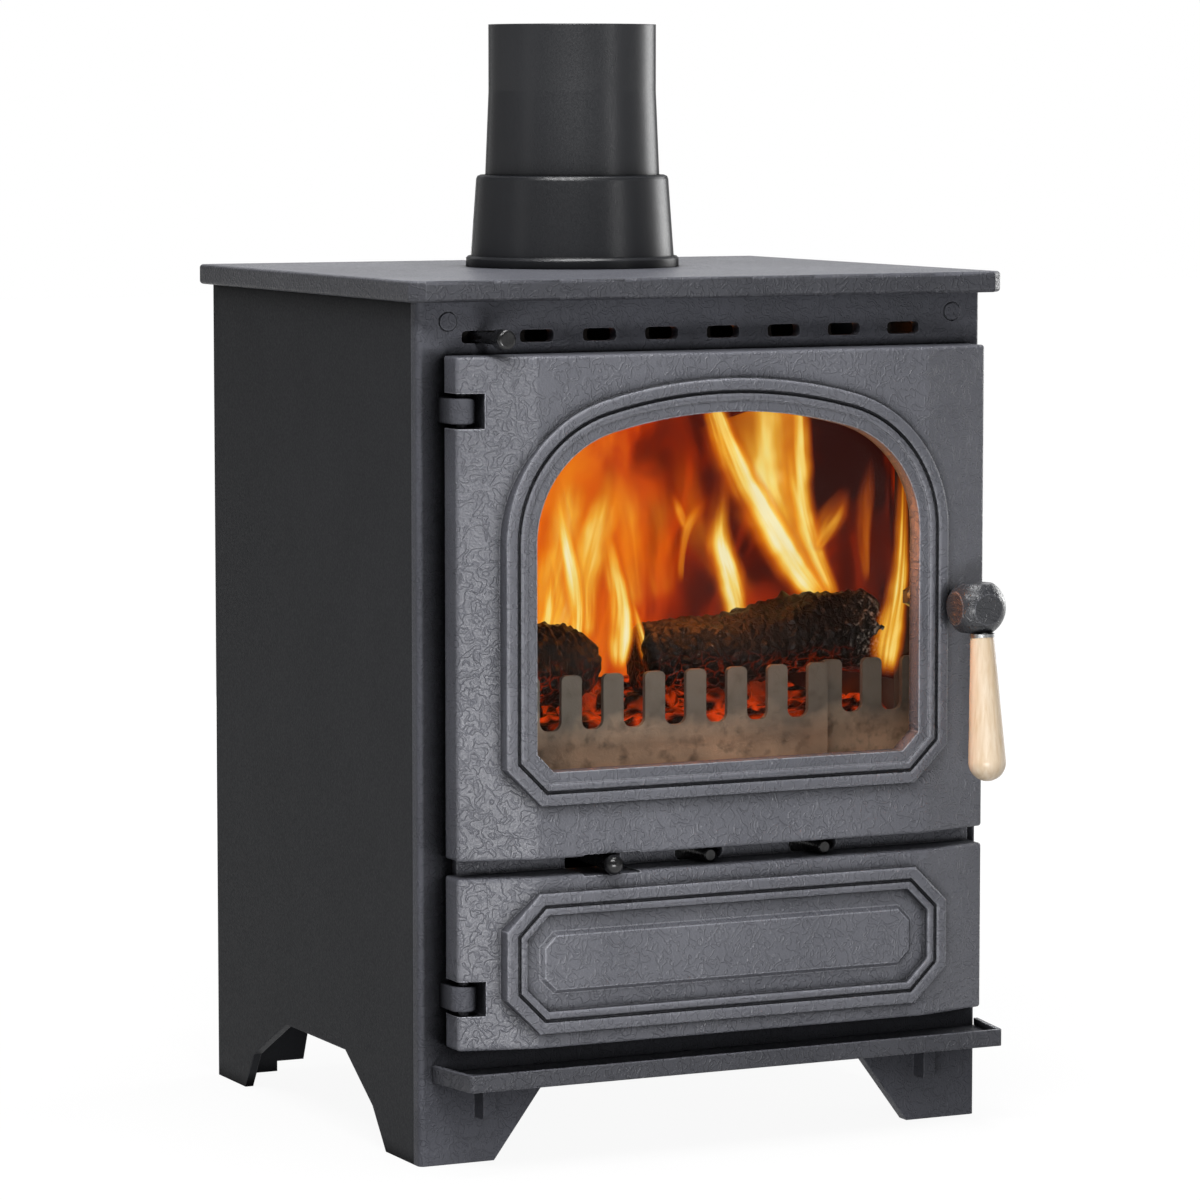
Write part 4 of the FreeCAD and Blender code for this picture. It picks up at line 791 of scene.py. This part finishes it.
def piece(
    name: str, shape: bmesh.types.BMesh, finish: Finish, body: Body, smooth: bool = True,
) -> bpy.types.Object:
    """Turn a shape into a finished object that rides on a body.

    Args:
        name: Name of the piece.
        shape: Mesh in the stove's frame; it is freed.
        finish: Finish of the piece.
        body: Body that carries it.
        smooth: Whether its faces are shaded smooth.

    Returns:
        The new object.
    """
    mesh = bpy.data.meshes.new(name)
    shape.to_mesh(mesh)
    shape.free()
    for face in mesh.polygons:
        face.use_smooth = smooth
    mesh.materials.append(finish.material())
    made = bpy.data.objects.new(name, mesh)
    bpy.context.collection.objects.link(made)
    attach(made, body.value)
    LOG.info("piece %s: %d faces, rides on %s", name, len(mesh.polygons), body.value)
    return made


@dataclass
class Casing:
    """Steel casing, cast front, top, flue and shelf, everything fixed in it, and the controls on it."""

    castings: Names = ("rear_outlet_cover",)
    level: Names = ("top_plate", "hearth_shelf")
    front: Names = ("front_frame", "fascia_plugs")
    plates: Names = ("left_side_panel", "right_side_panel", "back_panel", "base_plate")
    flue: Names = ("flue_collar", "flue_pipe")
    bright: Names = ("rear_cover_bolts", "latch_keeper", "keeper_screws")
    iron: Names = ("grate", "grate_rails", "riddling_plate", "baffle_plate", "airwash_guides",
                   "airwash_slide")
    bricks: Names = ("left_firebrick", "right_firebrick", "rear_firebrick")
    scaled: Names = ("fire_fence", "fence_ends", "ash_pan", "ash_pan_grip")
    knobs: Names = ("airwash_rod", "airwash_knob", "riddling_rod", "riddling_knob")

    def dress(self) -> None:
        """Give each fixed node and each control its finish."""
        dress(CAST_PAINT, *self.castings)
        dress(LEVEL_PAINT, *self.level)
        dress(FRAME_PAINT, *self.front)
        dress(PLATE_PAINT, *self.plates)
        dress(PIPE_PAINT, *self.flue)
        dress(BRIGHT_STEEL, *self.bright)
        dress(BARE_IRON, *self.iron)
        dress(CLAY_BRICK, *self.bricks)
        dress(FENCE_STEEL, *self.scaled)
        dress(BLACK_ENAMEL, *self.knobs)


@dataclass
class Door:
    """Door leaf with its glass, seals, hinges, air slides, handle and latch."""

    castings: Names = ("door_leaf", "hinge_pins")
    bright: Names = ("air_slide_guides", "handle_ferrule", "grip_stud", "latch_spindle", "latch_spacer",
                     "latch_cam", "spindle_nut")
    sooted: Names = ("glass_clips", "glass_clip_screws")
    knobs: Names = ("left_air_slide", "left_air_pin", "right_air_slide", "right_air_pin")
    rope_segments: int = 12
    rope_step_mm: float = 12.0
    rope_corner_mm: float = 14.0
    rope_flattening: float = 1.3
    rope_weld_mm: float = 0.05
    corner_steps: int = 8
    tape_round_mm: float = 0.6
    tape_weld_mm: float = 0.01
    tape_flat_deg: float = 2.0
    tape_sharp_deg: float = 60.0

    def dress(self) -> None:
        """Give each node of the door and handle its finish."""
        dress(CAST_PAINT, *self.castings)
        dress(BRIGHT_STEEL, *self.bright)
        dress(SOOTED_STEEL, *self.sooted)
        dress(BLACK_ENAMEL, *self.knobs)
        dress(PANE, "door_glass")
        dress(BEECH, "handle_grip")
        dress(HEAD_PAINT, "handle_head")

    def build_rope(self) -> bpy.types.Object:
        """Sweep the rope seal round its groove and let it stand for the plain CAD ring.

        Returns:
            The rope.
        """
        low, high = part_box("door_rope")
        radius = (high.y - low.y) / 2
        width = radius * self.rope_flattening
        corner = self.rope_corner_mm * MM
        middle = (low.y + high.y) / 2
        left, right = low.x + width, high.x - width
        base, top = low.z + width, high.z - width
        across, upright = right - left - 2 * corner, top - base - 2 * corner
        shape = bmesh.new()
        start = Vector((left + corner, middle, base))
        made = bmesh.ops.create_circle(
            shape, segments=self.rope_segments, radius=radius,
            matrix=Matrix.Translation(start) @ Matrix.Rotation(math.pi / 2, 4, "Y"))
        bmesh.ops.scale(shape, verts=made["verts"], vec=(1.0, 1.0, width / radius),
                        space=Matrix.Translation(-start))
        edges = list({edge for vert in made["verts"] for edge in vert.link_edges})
        runs = ((Vector((1, 0, 0)), across, (right - corner, base + corner)),
                (Vector((0, 0, 1)), upright, (right - corner, top - corner)),
                (Vector((-1, 0, 0)), across, (left + corner, top - corner)),
                (Vector((0, 0, -1)), upright, (left + corner, base + corner)))
        for way, length, (turn_x, turn_z) in runs:
            steps = max(2, round(length / (self.rope_step_mm * MM)))
            for _ in range(steps):
                grown = bmesh.ops.extrude_edge_only(shape, edges=edges)["geom"]
                edges = [item for item in grown if isinstance(item, bmesh.types.BMEdge)]
                verts = [item for item in grown if isinstance(item, bmesh.types.BMVert)]
                bmesh.ops.translate(shape, verts=verts, vec=way * (length / steps))
            turned = bmesh.ops.spin(
                shape, geom=edges, cent=(turn_x, middle, turn_z), axis=(0, -1, 0), angle=math.pi / 2,
                steps=self.corner_steps)["geom_last"]
            edges = [item for item in turned if isinstance(item, bmesh.types.BMEdge)]
        bmesh.ops.remove_doubles(shape, verts=shape.verts[:], dist=self.rope_weld_mm * MM)
        bmesh.ops.recalc_face_normals(shape, faces=shape.faces[:])
        rope = piece("door_rope_braid", shape, BRAID, Body.DOOR)
        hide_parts("door_rope")
        return rope

    def build_tape(self) -> bpy.types.Object:
        """Round off the woven tape under the glass and let it stand for the plain CAD ring.

        Returns:
            The tape.
        """
        shape = bmesh.new()
        shape.from_mesh(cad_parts["glass_gasket"].data)
        bmesh.ops.remove_doubles(shape, verts=shape.verts[:], dist=self.tape_weld_mm * MM)
        bmesh.ops.dissolve_limit(shape, angle_limit=math.radians(self.tape_flat_deg), verts=shape.verts[:],
                                 edges=shape.edges[:])
        limit = math.radians(self.tape_sharp_deg)
        sharp = [edge for edge in shape.edges if edge.is_manifold and edge.calc_face_angle(0.0) > limit]
        bmesh.ops.bevel(shape, geom=sharp, offset=self.tape_round_mm * MM, offset_type="OFFSET",
                        affect="EDGES", segments=2, profile=0.5, material=-1, clamp_overlap=True)
        tape = piece("glass_tape_woven", shape, BRAID, Body.DOOR)
        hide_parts("glass_gasket")
        return tape


def through(points: Sequence[Triple], share: float) -> Vector:
    """Find a place on a smooth line through points.

    Args:
        points: Triples that the line passes through.
        share: Place along the line, from 0 to 1.

    Returns:
        The triple at that place.
    """
    spans = len(points) - 1
    k = min(int(share * spans), spans - 1)
    t = share * spans - k
    before, a, b, after = (Vector(points[min(max(k + step, 0), spans)]) for step in (-1, 0, 1, 2))
    return 0.5 * (2 * a + (b - before) * t + (2 * before - 5 * a + 4 * b - after) * t ** 2
                  + (3 * a - before - 3 * b + after) * t ** 3)


@dataclass(frozen=True)
class Tongue:
    """One tongue of flame, in millimetres.

    Its depth is measured behind the fascia, its line runs through (x, z, half width), and shown is the
    share of the whole tongue that the line covers, below one where the tongue is cut off by the baffle.
    """

    depth: float
    finish: Finish
    line: tuple[Triple, ...]
    shown: float = 1.0


@dataclass(frozen=True)
class Log:
    """One log.

    Its radii are those of its two ends, its rises are how far the middle of each end lies above the
    CAD node's underside, and blunt_share is the share of its half length that rounds off.
    """

    name: str
    node: str
    radii_mm: Pair
    rises_mm: Pair
    seed: float
    blunt_share: float


@dataclass
class Fire:
    """The fire behind the glass: embers on the grate, charred logs, flames and the glow behind them."""

    fascia_y: float
    spread: float = 1.3
    bulge_mm: float = 5.0
    least_half_mm: float = 0.5
    tongue_grid: tuple[int, int] = (10, 32)
    slope_step: float = 0.02
    lean_mm: float = 40.0
    lean_from_mm: float = 346.0
    lean_to_mm: float = 494.0
    near_mm: float = 84.0
    deep_mm: float = 105.0
    veil_low_mm: float = 306.0
    veil_high_mm: float = 496.0
    veil_grid: tuple[int, int] = (48, 16)
    log_sides: int = 44
    log_rings: int = 110
    log_inset_mm: float = 3.0
    log_cap_shares: Triple = (0.15, 0.21, 0.3)
    log_girth: float = 0.95
    lump_mm: float = 26.0
    lump_draw: float = 0.35
    lump_share: float = 0.2
    scale_mm: float = 7.5
    scale_share: float = 0.2
    blunt_least: float = 0.2
    blunt_gain: float = 0.4
    dent_mm: float = 4.0
    dent_size_mm: float = 9.0
    bed_grid: tuple[int, int] = (72, 48)
    crown_share: float = 0.75
    heap_mm: float = 22.0
    heap_rise_mm: float = 6.0
    coals: int = 46
    coal_reach: Pair = (0.45, 0.42)
    coal_lift_mm: float = 4.0
    coal_mm: float = 10.0
    coal_vary_mm: float = 4.0
    coal_vary_step: float = 2.3
    chip_mm: float = 8.0
    chip_share: float = 0.5
    logs: tuple[Log, ...] = (
        Log("charred_log", "large_log", (26.0, 28.0), (28.0, 42.0), 1.7, 0.07),
        Log("charred_lump", "small_log", (31.0, 25.0), (33.0, 30.0), 5.1, 0.6),
    )
    veil_plan: tuple[Triple, ...] = (
        (-150, 165, 0), (-60, 167, 0), (40, 167, 0), (120, 165, 0), (165, 150, 0), (181, 110, 0),
        (183, 64, 0))
    tongues: tuple[Tongue, ...] = (
        Tongue(157, FAINT_FLAME, ((42, 358, 12), (35, 386, 19), (25, 420, 25), (13, 453, 25), (6, 488, 18))),
        Tongue(158, FAINT_FLAME, ((118, 358, 13), (73, 396, 16), (50, 440, 18), (37, 490, 16))),
        Tongue(154, DULL_FLAME, (
            (22, 350, 8), (17, 376, 13), (7, 410, 18), (-2, 437, 21), (-13, 464, 18), (-23, 486, 10))),
        Tongue(156, WARM_FLAME, (
            (-52, 326, 22), (-44, 352, 30), (-38, 384, 32), (-34, 420, 26), (-34, 450, 14))),
        Tongue(150, WARM_FLAME, (
            (-53, 328, 12), (-52, 352, 16), (-51, 379, 19), (-48, 412, 22), (-48, 444, 24), (-46, 471, 19),
            (-45, 491, 13))),
        Tongue(147, WARM_FLAME, (
            (-24, 330, 10), (-23, 350, 13), (-28, 376, 18), (-25, 406, 22), (-20, 438, 24), (-21, 465, 19),
            (-27, 487, 12))),
        Tongue(140, HOT_FLAME, (
            (-33, 330, 5), (-34, 351, 8), (-40, 380, 10), (-51, 413, 9), (-62, 446, 7), (-69, 467, 2))),
        Tongue(84, HOT_FLAME, (
            (-28, 317, 6), (-26, 341, 12), (-25, 367, 11), (-30, 394, 9), (-35, 420, 6), (-36, 440, 2))),
        Tongue(84, WARM_FLAME, ((-3, 320, 3), (-9, 340, 5), (-15, 362, 4), (-17, 380, 1))),
        Tongue(120, WARM_FLAME, ((-71, 332, 4), (-68, 347, 7), (-67, 366, 7), (-69, 388, 5), (-73, 407, 1))),
        Tongue(145, DULL_FLAME, ((48, 372, 3), (46, 398, 4), (48, 417, 7), (55, 430, 8), (64, 441, 3))),
        Tongue(146, DULL_FLAME, ((48, 413, 4), (39, 428, 6), (30, 443, 2))),
        Tongue(145, WARM_FLAME, (
            (172, 340, 8), (164, 360, 14), (147, 383, 21), (128, 411, 28), (112, 439, 34), (101, 467, 38),
            (91, 500, 41)), 0.6),
        Tongue(136, WARM_FLAME, (
            (174, 344, 5), (166, 365, 8), (152, 389, 11), (138, 417, 13), (128, 445, 15), (121, 472, 15),
            (116, 501, 15)), 0.6),
        Tongue(132, HOT_FLAME, (
            (94, 334, 7), (89, 353, 12), (80, 376, 15), (71, 398, 13), (66, 420, 10), (65, 442, 8),
            (60, 469, 7))),
        Tongue(128, HOT_FLAME, (
            (166, 344, 8), (150, 363, 13), (127, 388, 16), (104, 416, 15), (84, 442, 14), (67, 469, 13),
            (53, 496, 10), (51, 504, 9)), 0.6),
        Tongue(125, DULL_FLAME, ((143, 394, 4), (150, 412, 11), (158, 428, 10), (163, 444, 4))),
        Tongue(105, FAINT_FLAME, ((177, 371, 4), (170, 407, 7), (168, 440, 7), (166, 470, 2))),
        Tongue(65, HOT_FLAME, (
            (173, 308, 11), (177, 330, 14), (182, 352, 12), (186, 378, 9), (188, 420, 6),
            (188, 468, 3)), 0.85),
    )

    def at(self, x: float, depth: float, z: float) -> Vector:
        """Give a point from millimetres across, behind the fascia and above the floor."""
        return Vector((x * MM, self.fascia_y + depth * MM, z * MM))

    def leaning(self, depth: float, z: float) -> float:
        """Draw a deep flame forward as it rises under the sloping baffle.

        Args:
            depth: Depth of its foot behind the fascia, in millimetres.
            z: Height above the floor, in millimetres.

        Returns:
            Depth at that height.
        """
        share = min(max((z - self.lean_from_mm) / (self.lean_to_mm - self.lean_from_mm), 0.0), 1.0)
        deep = min(max((depth - self.near_mm) / (self.deep_mm - self.near_mm), 0.0), 1.0)
        return depth - self.lean_mm * share * deep

    def build_tongue(self, number: int, tongue: Tongue) -> bpy.types.Object:
        """Bend a sheet along one tongue's line.

        Args:
            number: Number used in the piece's name.
            tongue: Line, depth and finish of the tongue.

        Returns:
            The tongue.
        """
        columns, rows = self.tongue_grid
        shape = bmesh.new()
        flow = shape.loops.layers.uv.new("flow")
        bmesh.ops.create_grid(shape, x_segments=columns, y_segments=rows, size=0.5, calc_uvs=False)
        for face in shape.faces:
            for loop in face.loops:
                loop[flow].uv = (loop.vert.co.x + 0.5, (loop.vert.co.y + 0.5) * tongue.shown)
        for vert in shape.verts:
            side, share = 2 * vert.co.x, vert.co.y + 0.5
            x, z, half = through(tongue.line, share)
            after = through(tongue.line, min(share + self.slope_step, 1.0))
            ahead = after - through(tongue.line, max(share - self.slope_step, 0.0))
            slope = Vector((ahead.y, 0.0, -ahead.x)).normalized()
            reach = max(half, self.least_half_mm) * self.spread * side
            depth = self.leaning(tongue.depth, z) - self.bulge_mm * (1 - side * side)
            vert.co = self.at(x + slope.x * reach, depth, z + slope.z * reach)
        return piece(f"flame_tongue_{number:02d}", shape, tongue.finish, Body.STOVE)

    def build_veil(self) -> bpy.types.Object:
        """Hang a curved sheet of glow across the fire, leaning forward under the baffle.

        Returns:
            The veil.
        """
        columns, rows = self.veil_grid
        shape = bmesh.new()
        bmesh.ops.create_grid(shape, x_segments=columns, y_segments=rows, size=0.5)
        for vert in shape.verts:
            x, depth, _ = through(self.veil_plan, vert.co.x + 0.5)
            z = self.veil_low_mm + (self.veil_high_mm - self.veil_low_mm) * (vert.co.y + 0.5)
            vert.co = self.at(x, self.leaning(depth, z), z)
        return piece("flame_glow_veil", shape, VEIL, Body.STOVE)

    def build_log(self, log: Log) -> bpy.types.Object:
        """Carve one charred log where its CAD node lies, with burnt ends.

        Args:
            log: Node, radii, rises and seed of the log.

        Returns:
            The log.
        """
        low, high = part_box(log.node)
        middle = (low.y + high.y) / 2
        start = Vector((low.x + self.log_inset_mm * MM, middle, low.z + log.rises_mm[0] * MM))
        end = Vector((high.x, middle, low.z + log.rises_mm[1] * MM))
        length = (end - start).length
        shape = bmesh.new()
        bmesh.ops.create_cone(shape, cap_ends=True, segments=self.log_sides, radius1=log.radii_mm[0] * MM,
                              radius2=log.radii_mm[1] * MM, depth=length)
        lengthwise = [edge for edge in shape.edges
                      if abs(edge.verts[0].co.z - edge.verts[1].co.z) > length / 2]
        bmesh.ops.subdivide_edges(shape, edges=lengthwise, cuts=self.log_rings, use_grid_fill=True)
        caps = [face for face in shape.faces if len(face.verts) > 4]
        for share in self.log_cap_shares:
            bmesh.ops.inset_region(shape, faces=caps, thickness=min(log.radii_mm) * share * MM,
                                   use_even_offset=True)
        blunt = self.blunt_least + self.blunt_gain * log.blunt_share
        for vert in shape.verts:
            place = vert.co / MM
            out = Vector((place.x, place.y, 0.0))
            drawn = Vector((place.x, place.y, place.z * self.lump_draw))
            lump = noise.fractal(drawn / self.lump_mm + Vector((log.seed, 0, 0)), 1.0, 2.0, 3)
            cell = noise.voronoi(place / self.scale_mm + Vector((0, log.seed, 0)))[0]
            scale = self.log_girth + self.lump_share * lump + self.scale_share * (cell[1] - cell[0])
            far = max(0.0, abs(place.z) / (length / MM / 2) - 1.0 + log.blunt_share) / log.blunt_share
            scale *= 1.0 - blunt * far * far * (out.length / log.radii_mm[0])
            dent = self.dent_mm * noise.noise(out / self.dent_size_mm + Vector((log.seed, 3.0, 0)))
            vert.co = Vector((place.x * scale, place.y * scale, place.z + dent)) * MM
        turn = (end - start).to_track_quat("Z", "Y").to_matrix()
        bmesh.ops.rotate(shape, verts=shape.verts[:], cent=(0, 0, 0), matrix=turn)
        bmesh.ops.translate(shape, verts=shape.verts[:], vec=(start + end) / 2)
        bmesh.ops.recalc_face_normals(shape, faces=shape.faces[:])
        made = piece(log.name, shape, CHAR, Body.STOVE)
        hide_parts(log.node)
        return made

    def build_embers(self) -> bpy.types.Object:
        """Heap broken embers on the grate behind the fence, where the CAD bed lies.

        Returns:
            The bed of embers.
        """
        low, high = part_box("fuel_bed")
        middle, size = (low + high) / 2, high - low
        crown = self.crown_share * size.z
        columns, rows = self.bed_grid
        shape = bmesh.new()
        bmesh.ops.create_grid(shape, x_segments=columns, y_segments=rows, size=0.5)
        skirt = bmesh.ops.extrude_face_region(shape, geom=shape.faces[:])["geom"]
        top = {item for item in skirt if isinstance(item, bmesh.types.BMVert)}
        for vert in shape.verts:
            x, y = middle.x + vert.co.x * size.x, middle.y + vert.co.y * size.y
            lump = noise.fractal(Vector((x, y, 0)) / (self.heap_mm * MM), 0.8, 2.0, 3)
            rise = crown + self.heap_rise_mm * MM * lump if vert in top else 0.0
            vert.co = Vector((x, y, low.z + rise))
        for k in range(self.coals):
            turn = k * GOLDEN_TURN
            spread = math.sqrt((k + 0.5) / self.coals)
            spot = Vector((middle.x + self.coal_reach[0] * size.x * spread * math.cos(turn),
                           middle.y + self.coal_reach[1] * size.y * spread * math.sin(turn),
                           low.z + crown + self.coal_lift_mm * MM))
            radius = (self.coal_mm + self.coal_vary_mm * math.sin(k * self.coal_vary_step)) * MM
            ball = bmesh.ops.create_icosphere(shape, subdivisions=2, radius=radius,
                                              matrix=Matrix.Translation(spot))
            for vert in ball["verts"]:
                offset = vert.co - spot
                chip = noise.noise(offset / (self.chip_mm * MM) + Vector((k, 0, 0)))
                vert.co = spot + offset * (1.0 + self.chip_share * chip)
        bmesh.ops.recalc_face_normals(shape, faces=shape.faces[:])
        made = piece("ember_bed", shape, EMBERS, Body.STOVE, smooth=False)
        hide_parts("fuel_bed")
        return made

    def build(self) -> None:
        """Lay the embers and logs and light the flames."""
        self.build_embers()
        for log in self.logs:
            self.build_log(log)
        self.build_veil()
        for number, tongue in enumerate(self.tongues, start=1):
            self.build_tongue(number, tongue)


class LampKind(Enum):
    """Kinds of lamp."""

    AREA = "AREA"
    POINT = "POINT"


@dataclass(frozen=True)
class Lamp:
    """One lamp.

    Its place and the point that it faces are in metres, with y measured from the fascia. Its size is
    a width and a height, or for a point lamp a radius alone.
    """

    name: str
    kind: LampKind
    place: Triple
    aim: Triple
    watts: float
    size: Pair
    colour: str = WHITE


@dataclass
class Studio:
    """White studio round the stove: floor, light and camera."""

    fascia_y: float
    floor_m: float = 14.0
    sky_level: float = 0.1
    room_level: float = 0.15
    wall_way: Triple = (0.4325, 0.9016, 0.0)
    wall_share: Pair = (0.72, 0.92)
    camera_place: Triple = (-1.597439, -3.163694, 0.722431)
    camera_turn_deg: Triple = (84.4158, 0.0, -25.6238)
    camera_reach_m: float = 100.0
    lens_mm: float = 155.655
    sensor_mm: float = 36.0
    lamps: tuple[Lamp, ...] = (
        Lamp("low_strip", LampKind.AREA, (-0.5, -1.05, 0.14), (0.0, 0.0, 0.25), 5.8, (0.8, 0.22)),
        Lamp("low_left", LampKind.AREA, (-0.35, -0.95, 0.12), (0.0, 0.0, 0.25), 2.6, (0.5, 0.2)),
        Lamp("top_front", LampKind.AREA, (-0.7, -0.8, 1.7), (0.0, 0.0, 0.35), 22.0, (1.2, 0.25)),
        Lamp("key", LampKind.AREA, (1.7, -2.4, 2.3), (0.0, 0.0, 0.4), 2.0, (0.4, 0.4)),
        Lamp("pipe_strip", LampKind.AREA, (1.3, -2.2, 1.05), (0.0, 0.2, 0.8), 4.0, (0.2, 0.5)),
        Lamp("left_strip", LampKind.AREA, (-2.4, 0.1, 1.15), (0.0, 0.2, 0.75), 1.0, (0.4, 0.7)),
        Lamp("top_softbox", LampKind.AREA, (0.1, 0.1, 2.6), (0.0, 0.1, 0.5), 38.0, (1.0, 1.0)),
        Lamp("right_fill", LampKind.AREA, (2.2, 0.9, 0.8), (0.0, 0.2, 0.35), 22.0, (1.0, 1.0)),
        Lamp("back_fill", LampKind.AREA, (0.8, 2.6, 0.3), (0.0, 0.3, 0.3), 22.0, (1.0, 0.5)),
        Lamp("fire", LampKind.POINT, (0.05, 0.1, 0.43), (0.0, 0.0, 0.3), 0.9, (0.04, 0.0), "#ff8a3a"),
        Lamp("sill_glow", LampKind.POINT, (0.05, 0.02, 0.4), (0.0, 0.0, 0.3), 0.4, (0.03, 0.0), "#ff9a4a"),
    )

    def build_floor(self) -> None:
        """Lay a pale floor that keeps the stove's shadow."""
        shape = bmesh.new()
        bmesh.ops.create_grid(shape, x_segments=2, y_segments=2, size=self.floor_m)
        mesh = bpy.data.meshes.new("studio_floor")
        shape.to_mesh(mesh)
        shape.free()
        mesh.materials.append(FLOOR_PAINT.material())
        floor = bpy.data.objects.new("studio_floor", mesh)
        bpy.context.collection.objects.link(floor)

    def build_world(self) -> None:
        """Fill the room with even light, with a white wall behind the stove and the rest of the room dim."""
        world = bpy.data.worlds.new("white_studio")
        bpy.context.scene.world = world
        world.use_nodes = True
        tree = world.node_tree
        tree.nodes.clear()
        way = add(tree, "TexCoord").outputs["Generated"]
        facing = add(tree, "VectorMath", {0: way, 1: self.wall_way}, operation="DOT_PRODUCT")
        wall = add(tree, "MapRange", {
            "Value": facing, "From Min": self.wall_share[0], "From Max": self.wall_share[1],
            "To Min": self.room_level})
        camera = add(tree, "LightPath").outputs["Is Camera Ray"]
        white = add(tree, "Math", {0: wall, 1: camera}, operation="MAXIMUM")
        lit = add(tree, "Background", {"Color": WHITE, "Strength": self.sky_level})
        shown = add(tree, "Background", {"Color": WHITE, "Strength": white})
        both = add(tree, "MixShader", {0: seen(tree), 1: lit, 2: shown})
        add(tree, "OutputWorld", {"Surface": both})

    def build_light(self) -> None:
        """Hang the studio's lamps and the fire's own glow."""
        behind = Vector((0.0, self.fascia_y, 0.0))
        for lamp in self.lamps:
            data = bpy.data.lights.new(lamp.name, lamp.kind.value)
            data.energy = lamp.watts
            data.color = linear(lamp.colour)[:3]
            if lamp.kind is LampKind.AREA:
                data.shape = "RECTANGLE"
                data.size, data.size_y = lamp.size
            else:
                data.shadow_soft_size = lamp.size[0]
            made = bpy.data.objects.new(lamp.name, data)
            made.location = Vector(lamp.place) + behind
            made.rotation_euler = (Vector(lamp.aim) - Vector(lamp.place)).to_track_quat("-Z", "Y").to_euler()
            bpy.context.collection.objects.link(made)

    def build_camera(self) -> None:
        """Set the camera where the photograph was taken from."""
        data = bpy.data.cameras.new("camera")
        data.lens = self.lens_mm
        data.sensor_width = self.sensor_mm
        data.sensor_fit = "HORIZONTAL"
        data.clip_end = self.camera_reach_m
        camera = bpy.data.objects.new("camera", data)
        camera.location = Vector(self.camera_place) + Vector((0.0, self.fascia_y, 0.0))
        camera.rotation_euler = Euler([math.radians(turn) for turn in self.camera_turn_deg])
        bpy.context.collection.objects.link(camera)
        bpy.context.scene.camera = camera

    def build(self) -> None:
        """Set up the whole studio."""
        self.build_floor()
        self.build_world()
        self.build_light()
        self.build_camera()
        bpy.context.scene.view_settings.view_transform = "Standard"


def main() -> None:
    """Dress the stove, light the fire and set up the studio."""
    logging.basicConfig(level=logging.INFO, format="%(message)s")
    front_plate = 10.0 * MM
    fascia_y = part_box("left_side_panel")[0].y - front_plate
    Casing().dress()
    door = Door()
    door.dress()
    door.build_rope()
    door.build_tape()
    Fire(fascia_y).build()
    Studio(fascia_y).build()


if __name__ == "__main__":
    main()
